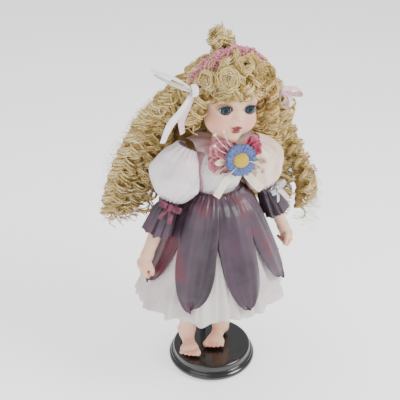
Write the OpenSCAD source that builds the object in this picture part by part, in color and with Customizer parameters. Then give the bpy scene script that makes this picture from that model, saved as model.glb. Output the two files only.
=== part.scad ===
// Dressed porcelain doll, held at the waist on a turned wooden stand with a telescopic rod.
// Origin: centre of the stand's underside. The doll faces -Y, +Z is up. Millimetres.

/* [Stand] */
// Radius of the turned base at its lower rim
base_r = 54; // [46:1:80]
// Thickness of the base, felt left out
base_h = 18.5; // [14:0.5:30]
// Thickness of the felt disc under the base
felt_t = 1.5; // [1:0.25:3]
// Distance of the rod behind the middle of the base
rod_back = 26; // [25:0.5:28]
// Outer diameter of the lower tube
tube_d = 7; // [6.6:0.2:9]
// Diameter of the sliding upper rod
rod_d = 5; // [4:0.1:5.4]
// Height of the lower tube's top above the table
tube_top = 135; // [110:1:150]

/* [Doll] */
// Height of the waist seam above the table
waist_z = 247; // [244:1:262]
// Forward lean of the doll's body on its clip, in degrees
lean_forward = 6; // [0:0.5:7]
// Sideways lean of the body towards the doll's left, in degrees
lean_side = 4; // [0:0.5:5]
// Radius of the skull
skull_r = 31; // [28:0.5:33]
// Wall of the porcelain head
porcelain_wall = 2.5; // [1.5:0.1:4]
// Radius of a glass eye
eye_r = 7.5; // [6:0.25:8.5]
// Turn of the head towards the doll's right, in degrees
head_turn = 5; // [0:1:10]
// Length of an arm from the shoulder to the finger tips
arm_len = 150; // [135:1:158]
// Angle of a hanging arm away from the body, in degrees
arm_splay = 24; // [23:0.5:30]
// Length of a foot from heel to toes
foot_len = 50; // [42:1:54]

/* [Clothes] */
// Radius of the tulle skirt at its hem
hem_r = 90; // [78:1:94]
// Height of the tulle skirt from its flare to its hem
hem_drop = 136; // [110:1:140]
// Length of an overskirt petal
petal_len = 112; // [80:1:124]
// Width of an overskirt petal
petal_w = 42; // [30:1:44]
// Largest radius of a puff sleeve
puff_r = 29; // [24:0.5:30]
// Radius of the flared cuffs
cuff_r = 17; // [13:0.5:18]
// Radius of the blue daisy
daisy_r = 18; // [13:0.5:20]

/* [Hidden] */

$fn = 64;
hull_fn = 28;            // facets of the balls inside a hull
RIGHT = -1;              // the doll's right side is towards -X
LEFT = 1;
gap = 0.4;               // clearance between pieces that lie side by side
slide_gap = 0.05;        // radial clearance of the sliding rod and of the swivel
far = 600;               // larger than the whole object

bisque = [0.93, 0.76, 0.66];
hair = [0.84, 0.74, 0.48];
plum = [0.36, 0.27, 0.33];
satin = [0.9, 0.84, 0.86];
rose = [0.76, 0.42, 0.47];
cream = [0.93, 0.88, 0.76];
black = [0.06, 0.06, 0.06];
steel = [0.68, 0.69, 0.7];
calico = [0.93, 0.86, 0.78];

// Stand
base_top = felt_t + base_h;
tube_foot = felt_t + 4.5;
bore_d = rod_d + 2 * slide_gap;
rod_pos = [0, rod_back, 0];
rod_foot = tube_top - 95;
clip_drop = 26;                     // the clip grips the roundest part of the hips
clip_z = waist_z - clip_drop;
clip_wire = 2.2;
holder_h = 14;
holder_r = bore_d / 2 + 2.5;

// The doll's upright frame: its axis is Z, and heights count from the table
doll_axis = [0, -4, waist_z];
hip_ball = 16;
hip_x = 9;
neck_r = 11.5;
plane_x = 33.8;                     // the body ends here, and the arms begin
shoulder = [38, 0, waist_z + 39];
chest = [20, -1, waist_z + 26];
chest_r = 12.4;
skull = [0, -4, waist_z + 112];
jaw = [0, -11, waist_z + 84];
jaw_r = 19;
crown_cut = skull[2] + 14;
eye_pos = [13.3, skull[1] - skull_r + 8.5, waist_z + 104];

// The clip follows the leaning torso at its own height
clip_centre = [-clip_drop * sin(lean_side), doll_axis[1] + clip_drop * sin(lean_forward), clip_z];
clip_r = hip_ball + 0.7 + clip_wire / 2;

// Arms, along -Z of their own frame from the shoulder
arm_r = 8.5;
wrist_r = 6.8;
puff_end = 0.33 * arm_len;
cuff_end = 0.62 * arm_len;
porcelain_at = 0.5 * arm_len;
hand_at = arm_len - 15;

// Legs, upright in the stand's frame
sole_gap = 1.6;                     // the clip carries the doll, so its soles hang just clear
sole_z = base_top + sole_gap;
ankle_z = sole_z + 22;
hip_z = waist_z - 47;
knee_at = 84;                       // from the hip, where the porcelain leg begins
thigh_r = 11.5;
calf_r = 11.5;
ankle_r = 9.5;
hips = [[-19, -1, hip_z], [11, -1, hip_z]];
ankles = [[-30, 9, ankle_z], [14, 4, ankle_z]];
foot_turns = [-16, -45];

// Skirts, upright about the waist: a short flare, then a long cone
band_h = 3.4;
skirt_top = waist_z - 4;
flare_z = waist_z - 11;
waist_in = 23.4;
flare_in = 34;
lining_t = 1.2;
tulle_t = 1.4;
petal_t = 1.8;
petal_down = 4;                     // the petals start this far under the flare, clear of the puffs
lining_drop = hem_drop - 18;
spread = (hem_r - flare_in - lining_t - gap) / hem_drop;
tulle_in = lining_t + gap;
petal_in = tulle_in + tulle_t + gap;
petal_out = petal_in + petal_t;
hem_z = flare_z - hem_drop;

// Wig and wreath
hair_in = skull_r + 3;
hair_out = skull_r + 8;
wreath_wire = 2;
wreath_r = hair_out + 1.6;
rose_r = 7;
part_y = skull[1] - 13;             // the fringe ends here, and the crown begins

// Leans the upright body about its waist, above the stand
module posed() {
    translate(doll_axis)
        rotate([lean_forward, lean_side, 0])
            translate([0, 0, -waist_z])
                children();
}

// Turns the head and all that is set in it about the neck
module head_turned() {
    rotate([0, 0, -head_turn])
        children();
}

module ball(centre, r) {
    translate(centre)
        sphere(r, $fn = hull_fn);
}

module above(z) {
    translate([-far / 2, -far / 2, z])
        cube(far);
}

module below(z) {
    translate([-far / 2, -far / 2, z - far])
        cube(far);
}

// Everything beyond a plane across X, on one side of the body
module beyond(side, x) {
    translate([side * (x + far / 2), 0, waist_z])
        cube(far, center = true);
}

// Everything inside that plane
module within(side, x) {
    translate([side * (x - far / 2), 0, waist_z])
        cube(far, center = true);
}

// A straight child from one point to another, along its own Z
module from_to(a, b) {
    d = b - a;
    translate(a)
        rotate([0, acos(d[2] / norm(d)), atan2(d[1], d[0])])
            children();
}

// Points of an arc about c, from angle a to angle b
function arc(c, r, a, b, n) = [for (i = [0:n]) c + r * [cos(a + (b - a) * i / n), sin(a + (b - a) * i / n)]];

// ---------- Stand ----------

// A turned disc: rounded foot, ogee, fillet and a flat top
module stand_base() {
    foot_r = 4;
    top_r = base_r - 7;
    step_z = felt_t + 2 * foot_r + 1.5;
    profile = concat(
        [[0, felt_t]],
        arc([base_r - foot_r, felt_t + foot_r], foot_r, -90, 80, 8),
        arc([top_r + 4, step_z + 2.4], 2.4, 270, 180, 5),
        arc([top_r - 1.5, base_top - 3], 3, 0, 90, 6),
        [[0, base_top]]);
    color(black)
        difference() {
            rotate_extrude($fn = 96)
                polygon(profile);
            translate([0, rod_back, tube_foot])
                cylinder(d = tube_d, h = far);
        }
}

module base_felt() {
    color([0.1, 0.1, 0.1])
        cylinder(r = base_r - 5, h = felt_t, $fn = 96);
}

module lower_tube() {
    color(steel)
        translate(rod_pos)
            difference() {
                translate([0, 0, tube_foot])
                    cylinder(d = tube_d, h = tube_top - tube_foot);
                translate([0, 0, tube_foot + 2])
                    cylinder(d = bore_d, h = far);
            }
}

module upper_rod() {
    color(steel)
        translate(rod_pos + [0, 0, rod_foot])
            cylinder(d = rod_d, h = clip_z + holder_h / 2 + 0.6 - rod_foot);
}

// A collar under the swivelling holder and a domed cap over it, both fast on the rod
module rod_stops() {
    color(black)
        translate(rod_pos) {
            translate([0, 0, clip_z - holder_h / 2 - 5])
                difference() {
                    cylinder(d = rod_d + 3.6, h = 4.7);
                    translate([0, 0, -1])
                        cylinder(d = rod_d, h = 8);
                }
            translate([0, 0, clip_z + holder_h / 2 + 0.6])
                intersection() {
                    sphere(rod_d / 2 + 1.4);
                    translate([-10, -10, 0])
                        cube(20);
                }
        }
}

// A sleeve that turns on the rod, with a short stub that carries the wire clip
module clip_holder() {
    stub_end = clip_centre[1] + clip_r + clip_wire / 2 + 0.05;
    color(black)
        difference() {
            union() {
                translate(rod_pos + [0, 0, clip_z - holder_h / 2])
                    cylinder(r = holder_r, h = holder_h);
                translate([0, stub_end, clip_z])
                    rotate([-90, 0, 0])
                        cylinder(d = 4.4, h = rod_back - stub_end);
            }
            translate(rod_pos + [0, 0, clip_z - holder_h / 2 - 1])
                cylinder(d = bore_d, h = holder_h + 2);
        }
}

// Sprung wire, open at the front so that it snaps round the waist
module waist_clip() {
    reach = 148;
    color(steel)
        translate(clip_centre) {
            translate([-hip_x, clip_r, 0])
                rotate([0, 90, 0])
                    cylinder(d = clip_wire, h = 2 * hip_x, $fn = 24);
            for (s = [RIGHT, LEFT])
                translate([s * hip_x, 0, 0]) {
                    rotate([0, 0, s == LEFT ? 90 - reach : 90])
                        rotate_extrude(angle = reach, $fn = 96)
                            translate([clip_r, 0])
                                circle(d = clip_wire, $fn = 24);
                    translate([s * clip_r * sin(reach), clip_r * cos(reach), 0])
                        sphere(clip_wire / 2 + 0.6, $fn = 24);
                }
        }
}

// ---------- Body and head ----------

// Stuffed torso, sewn flat across its seat where the thighs begin
module torso() {
    color(calico)
        difference() {
            posed()
                hull()
                    for (s = [RIGHT, LEFT]) {
                        ball([s * hip_x, 0, waist_z - clip_drop], hip_ball);
                        ball([s * 8, 0, waist_z], 14);
                        ball([s * 10, -1, waist_z + 11], 12);
                    }
            below(hip_z + thigh_r + 2 * gap);
        }
}

// The head's outside, or its inside when shrunk
module head_form(inset) {
    hull() {
        ball(skull, skull_r - inset);
        ball(jaw, jaw_r - inset);
        for (s = [RIGHT, LEFT])
            ball(jaw + [s * 11, 1, 9], jaw_r - 2.4 - inset);
    }
}

module shoulder_form(inset) {
    hull()
        for (s = [RIGHT, LEFT]) {
            ball([s * chest[0], chest[1], chest[2]], chest_r - inset);
            ball([s * 6, -3, waist_z + 32], 12.8 - inset);
        }
}

// Head, neck and shoulder plate are one casting, open at the crown and under the shoulders
module porcelain_head() {
    color(bisque)
        posed()
            difference() {
                union() {
                    head_turned() {
                        head_form(0);
                        for (s = [RIGHT, LEFT])
                            hull() {
                                ball(jaw + [s * (jaw_r + 9.5), 14, 16], 3);
                                ball(jaw + [s * (jaw_r + 8), 12, 7], 2);
                            }
                        hull() {
                            ball(jaw + [0, -jaw_r - 2.2, 10], 3);
                            ball(skull + [0, -skull_r + 3, -6], 2);
                        }
                    }
                    translate([0, -1, waist_z + 38])
                        cylinder(r = neck_r, h = 40);
                    shoulder_form(0);
                }
                head_turned() {
                    head_form(porcelain_wall);
                    above(crown_cut);
                    for (s = [RIGHT, LEFT])
                        translate([s * eye_pos[0], eye_pos[1], eye_pos[2]])
                            sphere(eye_r + gap / 2);
                }
                translate([0, -1, waist_z + 24])
                    cylinder(r = neck_r - porcelain_wall, h = 50);
                shoulder_form(porcelain_wall);
                below(waist_z + 23.5);
            }
}

// A light dome closes the crown, and the wig is glued to it
module head_pate() {
    color([0.95, 0.93, 0.88])
        posed()
            head_turned()
                intersection() {
                    translate(skull)
                        difference() {
                            sphere(skull_r, $fn = 96);
                            sphere(skull_r - porcelain_wall, $fn = 96);
                        }
                    above(crown_cut + gap);
                }
}

module eye(side) {
    color([0.12, 0.35, 0.42])
        posed()
            head_turned()
                translate([side * eye_pos[0], eye_pos[1], eye_pos[2]])
                    sphere(eye_r);
}

// Two curved rows of upper lashes, just over the eyes
module eyelashes() {
    color([0.2, 0.12, 0.08])
        posed()
            head_turned()
                for (s = [RIGHT, LEFT])
                    translate([s * eye_pos[0], eye_pos[1], eye_pos[2] + 4])
                        intersection() {
                            difference() {
                                cylinder(r = eye_r + 2.2, h = 0.9);
                                translate([0, 0, -1])
                                    cylinder(r = eye_r - 0.2, h = 4);
                            }
                            translate([0, -eye_r - 4.2, 0])
                                cube([1.1 * eye_r, 10, 6], center = true);
                        }
}

// ---------- Wig ----------

module wig_cap() {
    color(hair)
        posed()
            head_turned()
                translate(skull)
                    difference() {
                        sphere(skull_r + 2, $fn = 96);
                        sphere(skull_r + gap, $fn = 96);
                        rotate([-34, 0, 0])
                            below(7);
                    }
}

// What the wig keeps clear of: the skull, the whole head, the dress and its skirts, and the arms' swing
module skull_room() {
    translate(skull)
        sphere(hair_in);
}

module head_room() {
    head_turned()
        head_form(skull_r - hair_in);
    translate([0, -1, waist_z + 30])
        cylinder(r = neck_r + 1.5, h = 50);
}

module dress_room() {
    clear = petal_out + 0.8;
    translate([doll_axis[0], doll_axis[1], 0])
        rotate_extrude($fn = 96)
            polygon([[0, hem_z - 4], [flare_in + clear + spread * (hem_drop + 4), hem_z - 4],
                [flare_in + clear, flare_z], [plane_x + 2, waist_z + 2], [0, waist_z + 2]]);
    posed()
        translate([0, 0, waist_z - 6])
            cylinder(r = plane_x + 1.2, h = 64, $fn = 96);
}

module arm_room(side) {
    inner = plane_x - 1;
    outer = shoulder[0] + arm_len * sin(arm_splay + side * lean_side) + 11;
    posed()
        translate([side * (inner + outer) / 2, 31.5 - far / 2, waist_z + 72 - far / 2])
            cube([outer - inner, far, far], center = true);
}

module wig_crown() {
    color(hair)
        posed()
            difference() {
                union() {
                    translate(skull)
                        sphere(hair_out);
                    hull() {
                        ball(skull + [-6, 17, 34], 12);
                        ball(skull + [-14, 18, 67], 6);
                    }
                }
                skull_room();
                below(crown_cut - 2);
                translate([0, part_y - far / 2, skull[2]])
                    cube(far, center = true);
                beyond(RIGHT, plane_x);
                beyond(LEFT, plane_x);
            }
}

// The big rolled curls over the forehead
module wig_fringe() {
    roll_r = 11.5;
    color(hair)
        posed()
            difference() {
                hull()
                    for (a = [-52, -18, 18, 52])
                        ball(skull + [(skull_r + 3) * sin(a), -(skull_r + 1) * cos(a), 21 + 3 * cos(a)], roll_r);
                skull_room();
                translate([0, part_y - gap + far / 2, skull[2]])
                    cube(far, center = true);
                beyond(RIGHT, plane_x);
                beyond(LEFT, plane_x);
            }
}

module wig_back() {
    color(hair)
        difference() {
            posed()
                difference() {
                    hull() {
                        ball(skull + [0, 17, 0], 26);
                        for (s = [RIGHT, LEFT]) {
                            ball([s * 30, 45, waist_z + 60], 17);
                            ball([s * 26, 62, waist_z - 62], 14);
                        }
                    }
                    head_room();
                    above(crown_cut - 2 - gap);
                    beyond(RIGHT, plane_x);
                    beyond(LEFT, plane_x);
                }
            dress_room();
        }
}

// The long ringlets at one side: stations are [out, back, height above the waist, radius]
module side_curls(side, stations) {
    color(hair)
        difference() {
            posed()
                difference() {
                    hull()
                        for (p = stations)
                            ball([side * p[0], p[1], waist_z + p[2]], p[3]);
                    head_room();
                    within(side, plane_x + gap);
                }
            dress_room();
            arm_room(side);
        }
}

module wig_right() {
    side_curls(RIGHT, [[41, 22, 121, 15], [54, 22, 101, 17], [66, 34, 66, 18], [84, 46, 5, 20],
        [98, 46, -50, 19], [96, 44, -82, 15], [56, 56, 40, 14], [72, 60, -50, 14]]);
}

module wig_left() {
    side_curls(LEFT, [[43, 20, 118, 15], [70, 22, 90, 18], [96, 34, 42, 18], [124, 36, 0, 20],
        [146, 16, -30, 18], [150, 12, -86, 18], [138, 14, -116, 13], [60, 56, 40, 14], [78, 58, -60, 14]]);
}

// ---------- Wreath on the hair ----------

// A place on the wreath: 0 is at the doll's left, 90 at the top of the head
module on_wreath(angle) {
    translate(skull)
        rotate([8, 0, 0])
            rotate([0, -angle, 0])
                translate([wreath_r, 0, 0])
                    children();
}

module wreath_band() {
    color(rose)
        posed()
            translate(skull)
                rotate([98, 0, 0])
                    rotate([0, 0, 8])
                        rotate_extrude(angle = 164, $fn = 96)
                            translate([wreath_r, 0])
                                circle(d = wreath_wire, $fn = 20);
}

// Cupped fabric roses strung along the band
module wreath_roses() {
    color(rose)
        posed()
            for (a = [20, 43, 66, 89, 112, 135, 158])
                on_wreath(a)
                    translate([wreath_wire / 2 + rose_r * 0.7 + 0.1, 0, 0])
                        intersection() {
                            sphere(rose_r);
                            translate([far / 2 - rose_r * 0.7, 0, 0])
                                cube(far, center = true);
                        }
}

// A flat ribbon that starts at a point and runs along its own X, turned about Y
module strip(start, turn, length, width, thick) {
    translate(start)
        rotate([0, turn, 0])
            translate([0, -thick / 2, -width / 2])
                cube([length, thick, width]);
}

module wreath_ribbons() {
    knot = skull + [-52, -20, 14];
    color(satin)
        posed() {
            translate(knot)
                cube([9, 8, 9], center = true);
            strip(knot + [-3, 0, 1], 208, 52, 9, 2.4);
            strip(knot + [-1, -2.4, -2], 118, 58, 9, 1);
            strip(knot + [-1, 2.4, -2], 98, 44, 9, 1);
        }
}

module wreath_bow() {
    knot = skull + [50, -20, 6];
    color([0.95, 0.84, 0.86])
        posed() {
            translate(knot)
                cube([10, 9, 10], center = true);
            strip(knot + [3, 0, 1], -12, 22, 11, 3);
            strip(knot + [-3, 1, -2], 100, 18, 10, 2);
            strip(knot + [3, -1, -2], 70, 18, 8, 2);
        }
}

// ---------- Dress ----------

module bodice_form(inset) {
    hull()
        for (s = [RIGHT, LEFT]) {
            ball([s * chest[0], chest[1], chest[2]], chest_r + 2 - inset);
            ball([s * 8, -3, waist_z + 20], 20 - inset);
            ball([s * 8, -1, waist_z + 4], 18.6 - inset);
        }
}

module bodice() {
    color([0.96, 0.95, 0.94])
        difference() {
            posed()
                difference() {
                    bodice_form(0);
                    bodice_form(1.4);
                    translate([0, -1, waist_z + 30])
                        cylinder(r = neck_r + 10.5, h = 30);
                    beyond(RIGHT, plane_x - 0.2);
                    beyond(LEFT, plane_x - 0.2);
                    above(waist_z + 44);
                }
            below(waist_z + 1.4);
        }
}

// A sheer pleated collar laid round the neck
module collar() {
    color([0.92, 0.8, 0.82])
        posed()
            rotate_extrude()
                polygon([[neck_r + 3, waist_z + 57], [plane_x - 1, waist_z + 46],
                    [plane_x - 1, waist_z + 47.2], [neck_r + 3, waist_z + 58.2]]);
}

module on_corsage() {
    translate([3, -41, waist_z + 51])
        rotate([72, 0, -6])
            children();
}

ribbon_back = -1.9;                 // back of the satin tails, behind the daisy
stamen_d = 0.9;

function ray(a) = daisy_r * (0.9 + 0.1 * cos(18 * a));

// Eighteen rays, with their tips scalloped
module corsage_daisy() {
    color([0.33, 0.42, 0.68])
        posed()
            on_corsage()
                linear_extrude(2.4)
                    polygon([for (i = [0:143]) ray(i * 2.5) * [cos(i * 2.5), sin(i * 2.5)]]);
}

module corsage_daisy_centre() {
    color([0.95, 0.8, 0.1])
        posed()
            on_corsage()
                translate([0, 0, 2.5])
                    intersection() {
                        translate([0, 0, -3])
                            sphere(daisy_r * 0.46);
                        above(0);
                    }
}

// Two fabric rose heads behind the daisy, sewn to the bodice
module corsage_roses() {
    color(rose)
        posed()
            difference() {
                on_corsage() {
                    translate([-13, 2, ribbon_back - gap - 12])
                        sphere(12);
                    translate([14, 5, ribbon_back - gap - 11.5])
                        sphere(11.5);
                }
                bodice_form(-gap);
                translate([0, 0, waist_z])
                    cylinder(r = neck_r + 3.4, h = 60);
                rotate_extrude()
                    polygon([[neck_r + 2, waist_z + 57], [plane_x - 0.5, waist_z + 45],
                        [plane_x - 0.5, waist_z + 48], [neck_r + 2, waist_z + 59]]);
                translate(jaw)
                    sphere(jaw_r + 0.8);
            }
}

// Satin tails and loops that hang from under the daisy
module corsage_bow() {
    color(cream)
        posed()
            on_corsage()
                for (t = [[-128, 44], [-52, 42], [-8, 27], [190, 27]])
                    rotate([0, 0, t[0]])
                        translate([12.5, -4.5, ribbon_back])
                            cube([t[1] - 12.5, 9, 1.4]);
}

// Pearl-tipped wires at the doll's right of the daisy
module corsage_stamens() {
    color([0.95, 0.93, 0.92])
        posed()
            on_corsage()
                for (t = [[122, 36], [136, 40], [150, 33]])
                    rotate([0, 0, t[0]]) {
                        translate([13, 0, -stamen_d / 2 - 0.1])
                            rotate([0, 90, 0])
                                cylinder(d = stamen_d, h = t[1] - 13, $fn = 16);
                        translate([t[1], 0, -stamen_d / 2 - 0.1])
                            sphere(1.6, $fn = 24);
                    }
}

module about_waist() {
    translate([doll_axis[0], doll_axis[1], 0])
        children();
}

module skirt_waistband() {
    color(plum)
        about_waist()
            translate([0, 0, skirt_top + 0.2])
                difference() {
                    cylinder(r = waist_in + petal_out, h = band_h, $fn = 96);
                    translate([0, 0, -1])
                        cylinder(r = waist_in, h = far, $fn = 96);
                }
}

// A gathered skirt: it starts a little outside the waist, flares, and falls as a cone
module skirt(offset_in, wall, drop) {
    i = offset_in;
    o = offset_in + wall;
    about_waist()
        rotate_extrude($fn = 96)
            polygon([[waist_in + i, skirt_top], [flare_in + i, flare_z],
                [flare_in + i + spread * drop, flare_z - drop],
                [flare_in + o + spread * drop, flare_z - drop],
                [flare_in + o, flare_z], [waist_in + o, skirt_top]]);
}

module skirt_lining() {
    color([0.9, 0.85, 0.84])
        skirt(0, lining_t, lining_drop);
}

module tulle_skirt() {
    color([0.93, 0.89, 0.87])
        skirt(tulle_in, tulle_t, hem_drop);
}

// Half the width of a petal, at a share of its length
function leaf(t) = petal_w / 2 * (t < 0.6 ? 0.36 + 0.64 * sin(150 * t) : pow(max(0, cos(225 * (t - 0.6))), 0.8));

// One leaf-shaped petal of the overskirt, laid on the tulle
module skirt_petal(i) {
    slope = atan(spread);
    steps = 14;
    length = petal_len;
    color(plum)
        about_waist()
            intersection() {
                rotate_extrude($fn = 96)
                    polygon([[flare_in + petal_in + spread * petal_down, flare_z - petal_down],
                        [flare_in + petal_in + spread * hem_drop, hem_z],
                        [flare_in + petal_out + spread * hem_drop, hem_z],
                        [flare_in + petal_out + spread * petal_down, flare_z - petal_down]]);
                rotate([0, 0, 45 * i])
                    translate([flare_in + petal_in, 0, flare_z])
                        rotate([0, 90 - slope, 0])
                            translate([0, 0, -50])
                                linear_extrude(80)
                                    polygon(concat(
                                        [for (k = [0:steps]) [length * k / steps, leaf(k / steps)]],
                                        [for (k = [steps - 1:-1:0]) [length * k / steps, -leaf(k / steps)]]));
            }
}

// ---------- Arms ----------

// The frame of a hanging arm: the shoulder is its origin and the arm runs down -Z
module arm(side) {
    posed()
        translate([side * shoulder[0], shoulder[1], shoulder[2]])
            rotate([-lean_forward, 0, 0])
                rotate([0, -side * arm_splay - lean_side, 0])
                    children();
}

// The part of an arm that lies outside the body's side plane
module clear_of_body(side) {
    difference() {
        children();
        posed()
            within(side, plane_x + 0.2);
    }
}

module upper_arm(side) {
    color(calico)
        clear_of_body(side)
            arm(side) {
                sphere(arm_r);
                translate([0, 0, -porcelain_at])
                    cylinder(r1 = arm_r - 0.6, r2 = arm_r, h = porcelain_at);
            }
}

// Thread that binds the cloth arm in the porcelain's groove
module tie(r) {
    rotate_extrude()
        translate([r + 1.1, 0])
            circle(r = 0.8, $fn = 20);
}

module arm_tie(side) {
    color(cream)
        arm(side)
            translate([0, 0, -porcelain_at + 3])
                tie(arm_r - 0.5);
}

// Porcelain forearm with a loosely closed hand
module forearm(side) {
    inward = -side;
    color(bisque)
        arm(side) {
            translate([0, 0, -hand_at + 12])
                cylinder(r1 = wrist_r - 0.6, r2 = arm_r + 0.4, h = hand_at - 12 - porcelain_at - gap);
            hull() {
                translate([0, 0, -hand_at + 14])
                    sphere(wrist_r, $fn = hull_fn);
                for (y = [-6, 5])
                    translate([0, y, -hand_at + 1])
                        sphere(6.4, $fn = hull_fn);
            }
            for (k = [0:3])
                hull() {
                    translate([0, -8.1 + 5 * k, -hand_at - 5])
                        sphere(3.1, $fn = 20);
                    translate([inward * 6.5, -7.6 + 4.6 * k, -hand_at - 10])
                        sphere(2.8, $fn = 20);
                    translate([inward * 9.5, -7 + 4.2 * k, -hand_at - 2])
                        sphere(2.3, $fn = 20);
                }
            hull() {
                translate([inward * 3, -9, -hand_at + 6])
                    sphere(3.4, $fn = 20);
                translate([inward * 9, -11.5, -hand_at - 3])
                    sphere(2.7, $fn = 20);
            }
        }
}

// Profile of the puff between its gathers at the shoulder and at the elbow
function puff(r, n) = [for (k = [0:n]) [9.6 + (r - 9.6) * pow(sin(180 * (0.06 + 0.88 * k / n)), 0.75), 11 - (puff_end + 11) * k / n]];

module sleeve_puff(side) {
    color(satin)
        clear_of_body(side)
            arm(side)
                rotate_extrude()
                    polygon(concat(puff(puff_r, 14), [for (k = [14:-1:0]) puff(puff_r - 1.5, 14)[k] - [0.9, 0]]));
}

// A gathered cuff that flares from the puff's edge
module sleeve_cuff(side) {
    color(plum)
        arm(side)
            rotate_extrude()
                polygon([[arm_r + 2.4, -puff_end - gap], [cuff_r - 2, -0.5 * (puff_end + cuff_end)], [cuff_r, -cuff_end],
                    [cuff_r - 1.2, -cuff_end], [cuff_r - 3.4, -0.5 * (puff_end + cuff_end)], [arm_r + 1, -puff_end - gap]]);
}

// A ribbon bow tied over the gathers, towards the front: two loops, a knot and two tails
module sleeve_bow(side) {
    loop_r = 5.4;
    ribbon_w = 8;
    ribbon_t = 1.2;
    knot_r = 2.8;
    color([0.45, 0.25, 0.34])
        arm(side)
            rotate([0, 0, side * 20])
                translate([0, -cuff_r - loop_r, -puff_end - 6]) {
                    cube([2 * knot_r, knot_r, 2 * knot_r], center = true);
                    for (s = [RIGHT, LEFT])
                        translate([s * (loop_r + knot_r - ribbon_t / 2), 0, -ribbon_w / 2])
                            difference() {
                                cylinder(r = loop_r, h = ribbon_w);
                                translate([0, 0, -1])
                                    cylinder(r = loop_r - ribbon_t, h = ribbon_w + 2);
                            }
                    for (x = [0.3 - knot_r, 0.3])
                        translate([x, -ribbon_t / 2, -16])
                            cube([knot_r - 0.6, ribbon_t, 16 - knot_r / 2]);
                }
}

// ---------- Legs ----------

module thigh(i) {
    color(calico)
        from_to(hips[i], ankles[i]) {
            sphere(thigh_r);
            cylinder(r1 = thigh_r, r2 = thigh_r - 1, h = knee_at);
        }
}

module leg_tie(i) {
    color(cream)
        from_to(hips[i], ankles[i])
            translate([0, 0, knee_at - 3])
                tie(thigh_r - 0.9);
}

// Porcelain shin and calf
module shin(i) {
    shin_len = norm(ankles[i] - hips[i]);
    from_to(hips[i], ankles[i])
        difference() {
            hull() {
                ball([0, 0, knee_at], thigh_r - 0.4);
                ball([0, 0, knee_at + 26], calf_r);
                ball([0, 0, shin_len], ankle_r);
            }
            below(knee_at + gap);
        }
}

// A chubby foot, toes towards -Y of its own frame
module foot() {
    toe_y = -(foot_len - 17.5 - 5);
    difference() {
        union() {
            hull() {
                ball([0, 0, 0], ankle_r);
                ball([0, 8, -13], 9.5);
                ball([-6, toe_y + 8, -17], 7);
                ball([6, toe_y + 8, -17], 7);
            }
            for (k = [0:4])
                translate([-10 + 5 * k, toe_y + 2 - 1.6 * cos(36 * k), -18.5])
                    sphere(3.6, $fn = 24);
        }
        below(-22);
    }
}

module lower_leg(i) {
    color(bisque) {
        shin(i);
        translate(ankles[i])
            rotate([0, 0, foot_turns[i]])
                foot();
    }
}

stand_base();
base_felt();
lower_tube();
upper_rod();
rod_stops();
clip_holder();
waist_clip();
torso();
porcelain_head();
head_pate();
eye(RIGHT);  // eye_right
eye(LEFT);  // eye_left
eyelashes();
wig_cap();
wig_crown();
wig_fringe();
wig_back();
wig_right();
wig_left();
wreath_band();
wreath_roses();
wreath_ribbons();
wreath_bow();
bodice();
collar();
corsage_daisy();
corsage_daisy_centre();
corsage_roses();
corsage_bow();
corsage_stamens();
skirt_waistband();
skirt_lining();
tulle_skirt();
skirt_petal(1);  // skirt_petal_1
skirt_petal(2);  // skirt_petal_2
skirt_petal(3);  // skirt_petal_3
skirt_petal(4);  // skirt_petal_4
skirt_petal(5);  // skirt_petal_5
skirt_petal(6);  // skirt_petal_6
skirt_petal(7);  // skirt_petal_7
skirt_petal(8);  // skirt_petal_8
upper_arm(RIGHT);  // right_upper_arm
forearm(RIGHT);  // right_forearm
arm_tie(RIGHT);  // right_arm_tie
sleeve_puff(RIGHT);  // right_sleeve_puff
sleeve_cuff(RIGHT);  // right_sleeve_cuff
sleeve_bow(RIGHT);  // right_sleeve_bow
upper_arm(LEFT);  // left_upper_arm
forearm(LEFT);  // left_forearm
arm_tie(LEFT);  // left_arm_tie
sleeve_puff(LEFT);  // left_sleeve_puff
sleeve_cuff(LEFT);  // left_sleeve_cuff
sleeve_bow(LEFT);  // left_sleeve_bow
thigh(0);  // right_thigh
lower_leg(0);  // right_lower_leg
leg_tie(0);  // right_leg_tie
thigh(1);  // left_thigh
lower_leg(1);  // left_lower_leg
leg_tie(1);  // left_leg_tie
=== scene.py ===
"""Looks of a dressed porcelain doll on its stand.

Shapes are worked out in millimetres, in the doll's own upright frame: X to its left hand, Y to its back,
Z up from the waist seam. A piece becomes metres in the row's frame when it is made.
"""

import math

import bmesh
import bpy
import numpy as np
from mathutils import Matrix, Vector


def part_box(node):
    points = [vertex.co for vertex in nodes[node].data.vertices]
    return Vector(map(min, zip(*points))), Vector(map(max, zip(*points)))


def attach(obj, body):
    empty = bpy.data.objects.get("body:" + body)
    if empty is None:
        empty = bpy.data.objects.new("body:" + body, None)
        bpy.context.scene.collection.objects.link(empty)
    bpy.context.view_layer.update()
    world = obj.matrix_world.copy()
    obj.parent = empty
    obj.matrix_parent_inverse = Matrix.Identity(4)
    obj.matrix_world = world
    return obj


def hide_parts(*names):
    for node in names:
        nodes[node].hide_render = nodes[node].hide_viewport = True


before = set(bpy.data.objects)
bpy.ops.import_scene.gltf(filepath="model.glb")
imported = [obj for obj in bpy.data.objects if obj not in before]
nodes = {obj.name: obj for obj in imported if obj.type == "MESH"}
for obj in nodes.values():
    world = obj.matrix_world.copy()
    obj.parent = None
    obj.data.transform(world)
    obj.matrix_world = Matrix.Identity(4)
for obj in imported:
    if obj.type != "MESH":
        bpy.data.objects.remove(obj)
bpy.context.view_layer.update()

MM = 0.001
RIGHT = -1
LEFT = 1
SIDES = {"right": RIGHT, "left": LEFT}

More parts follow.
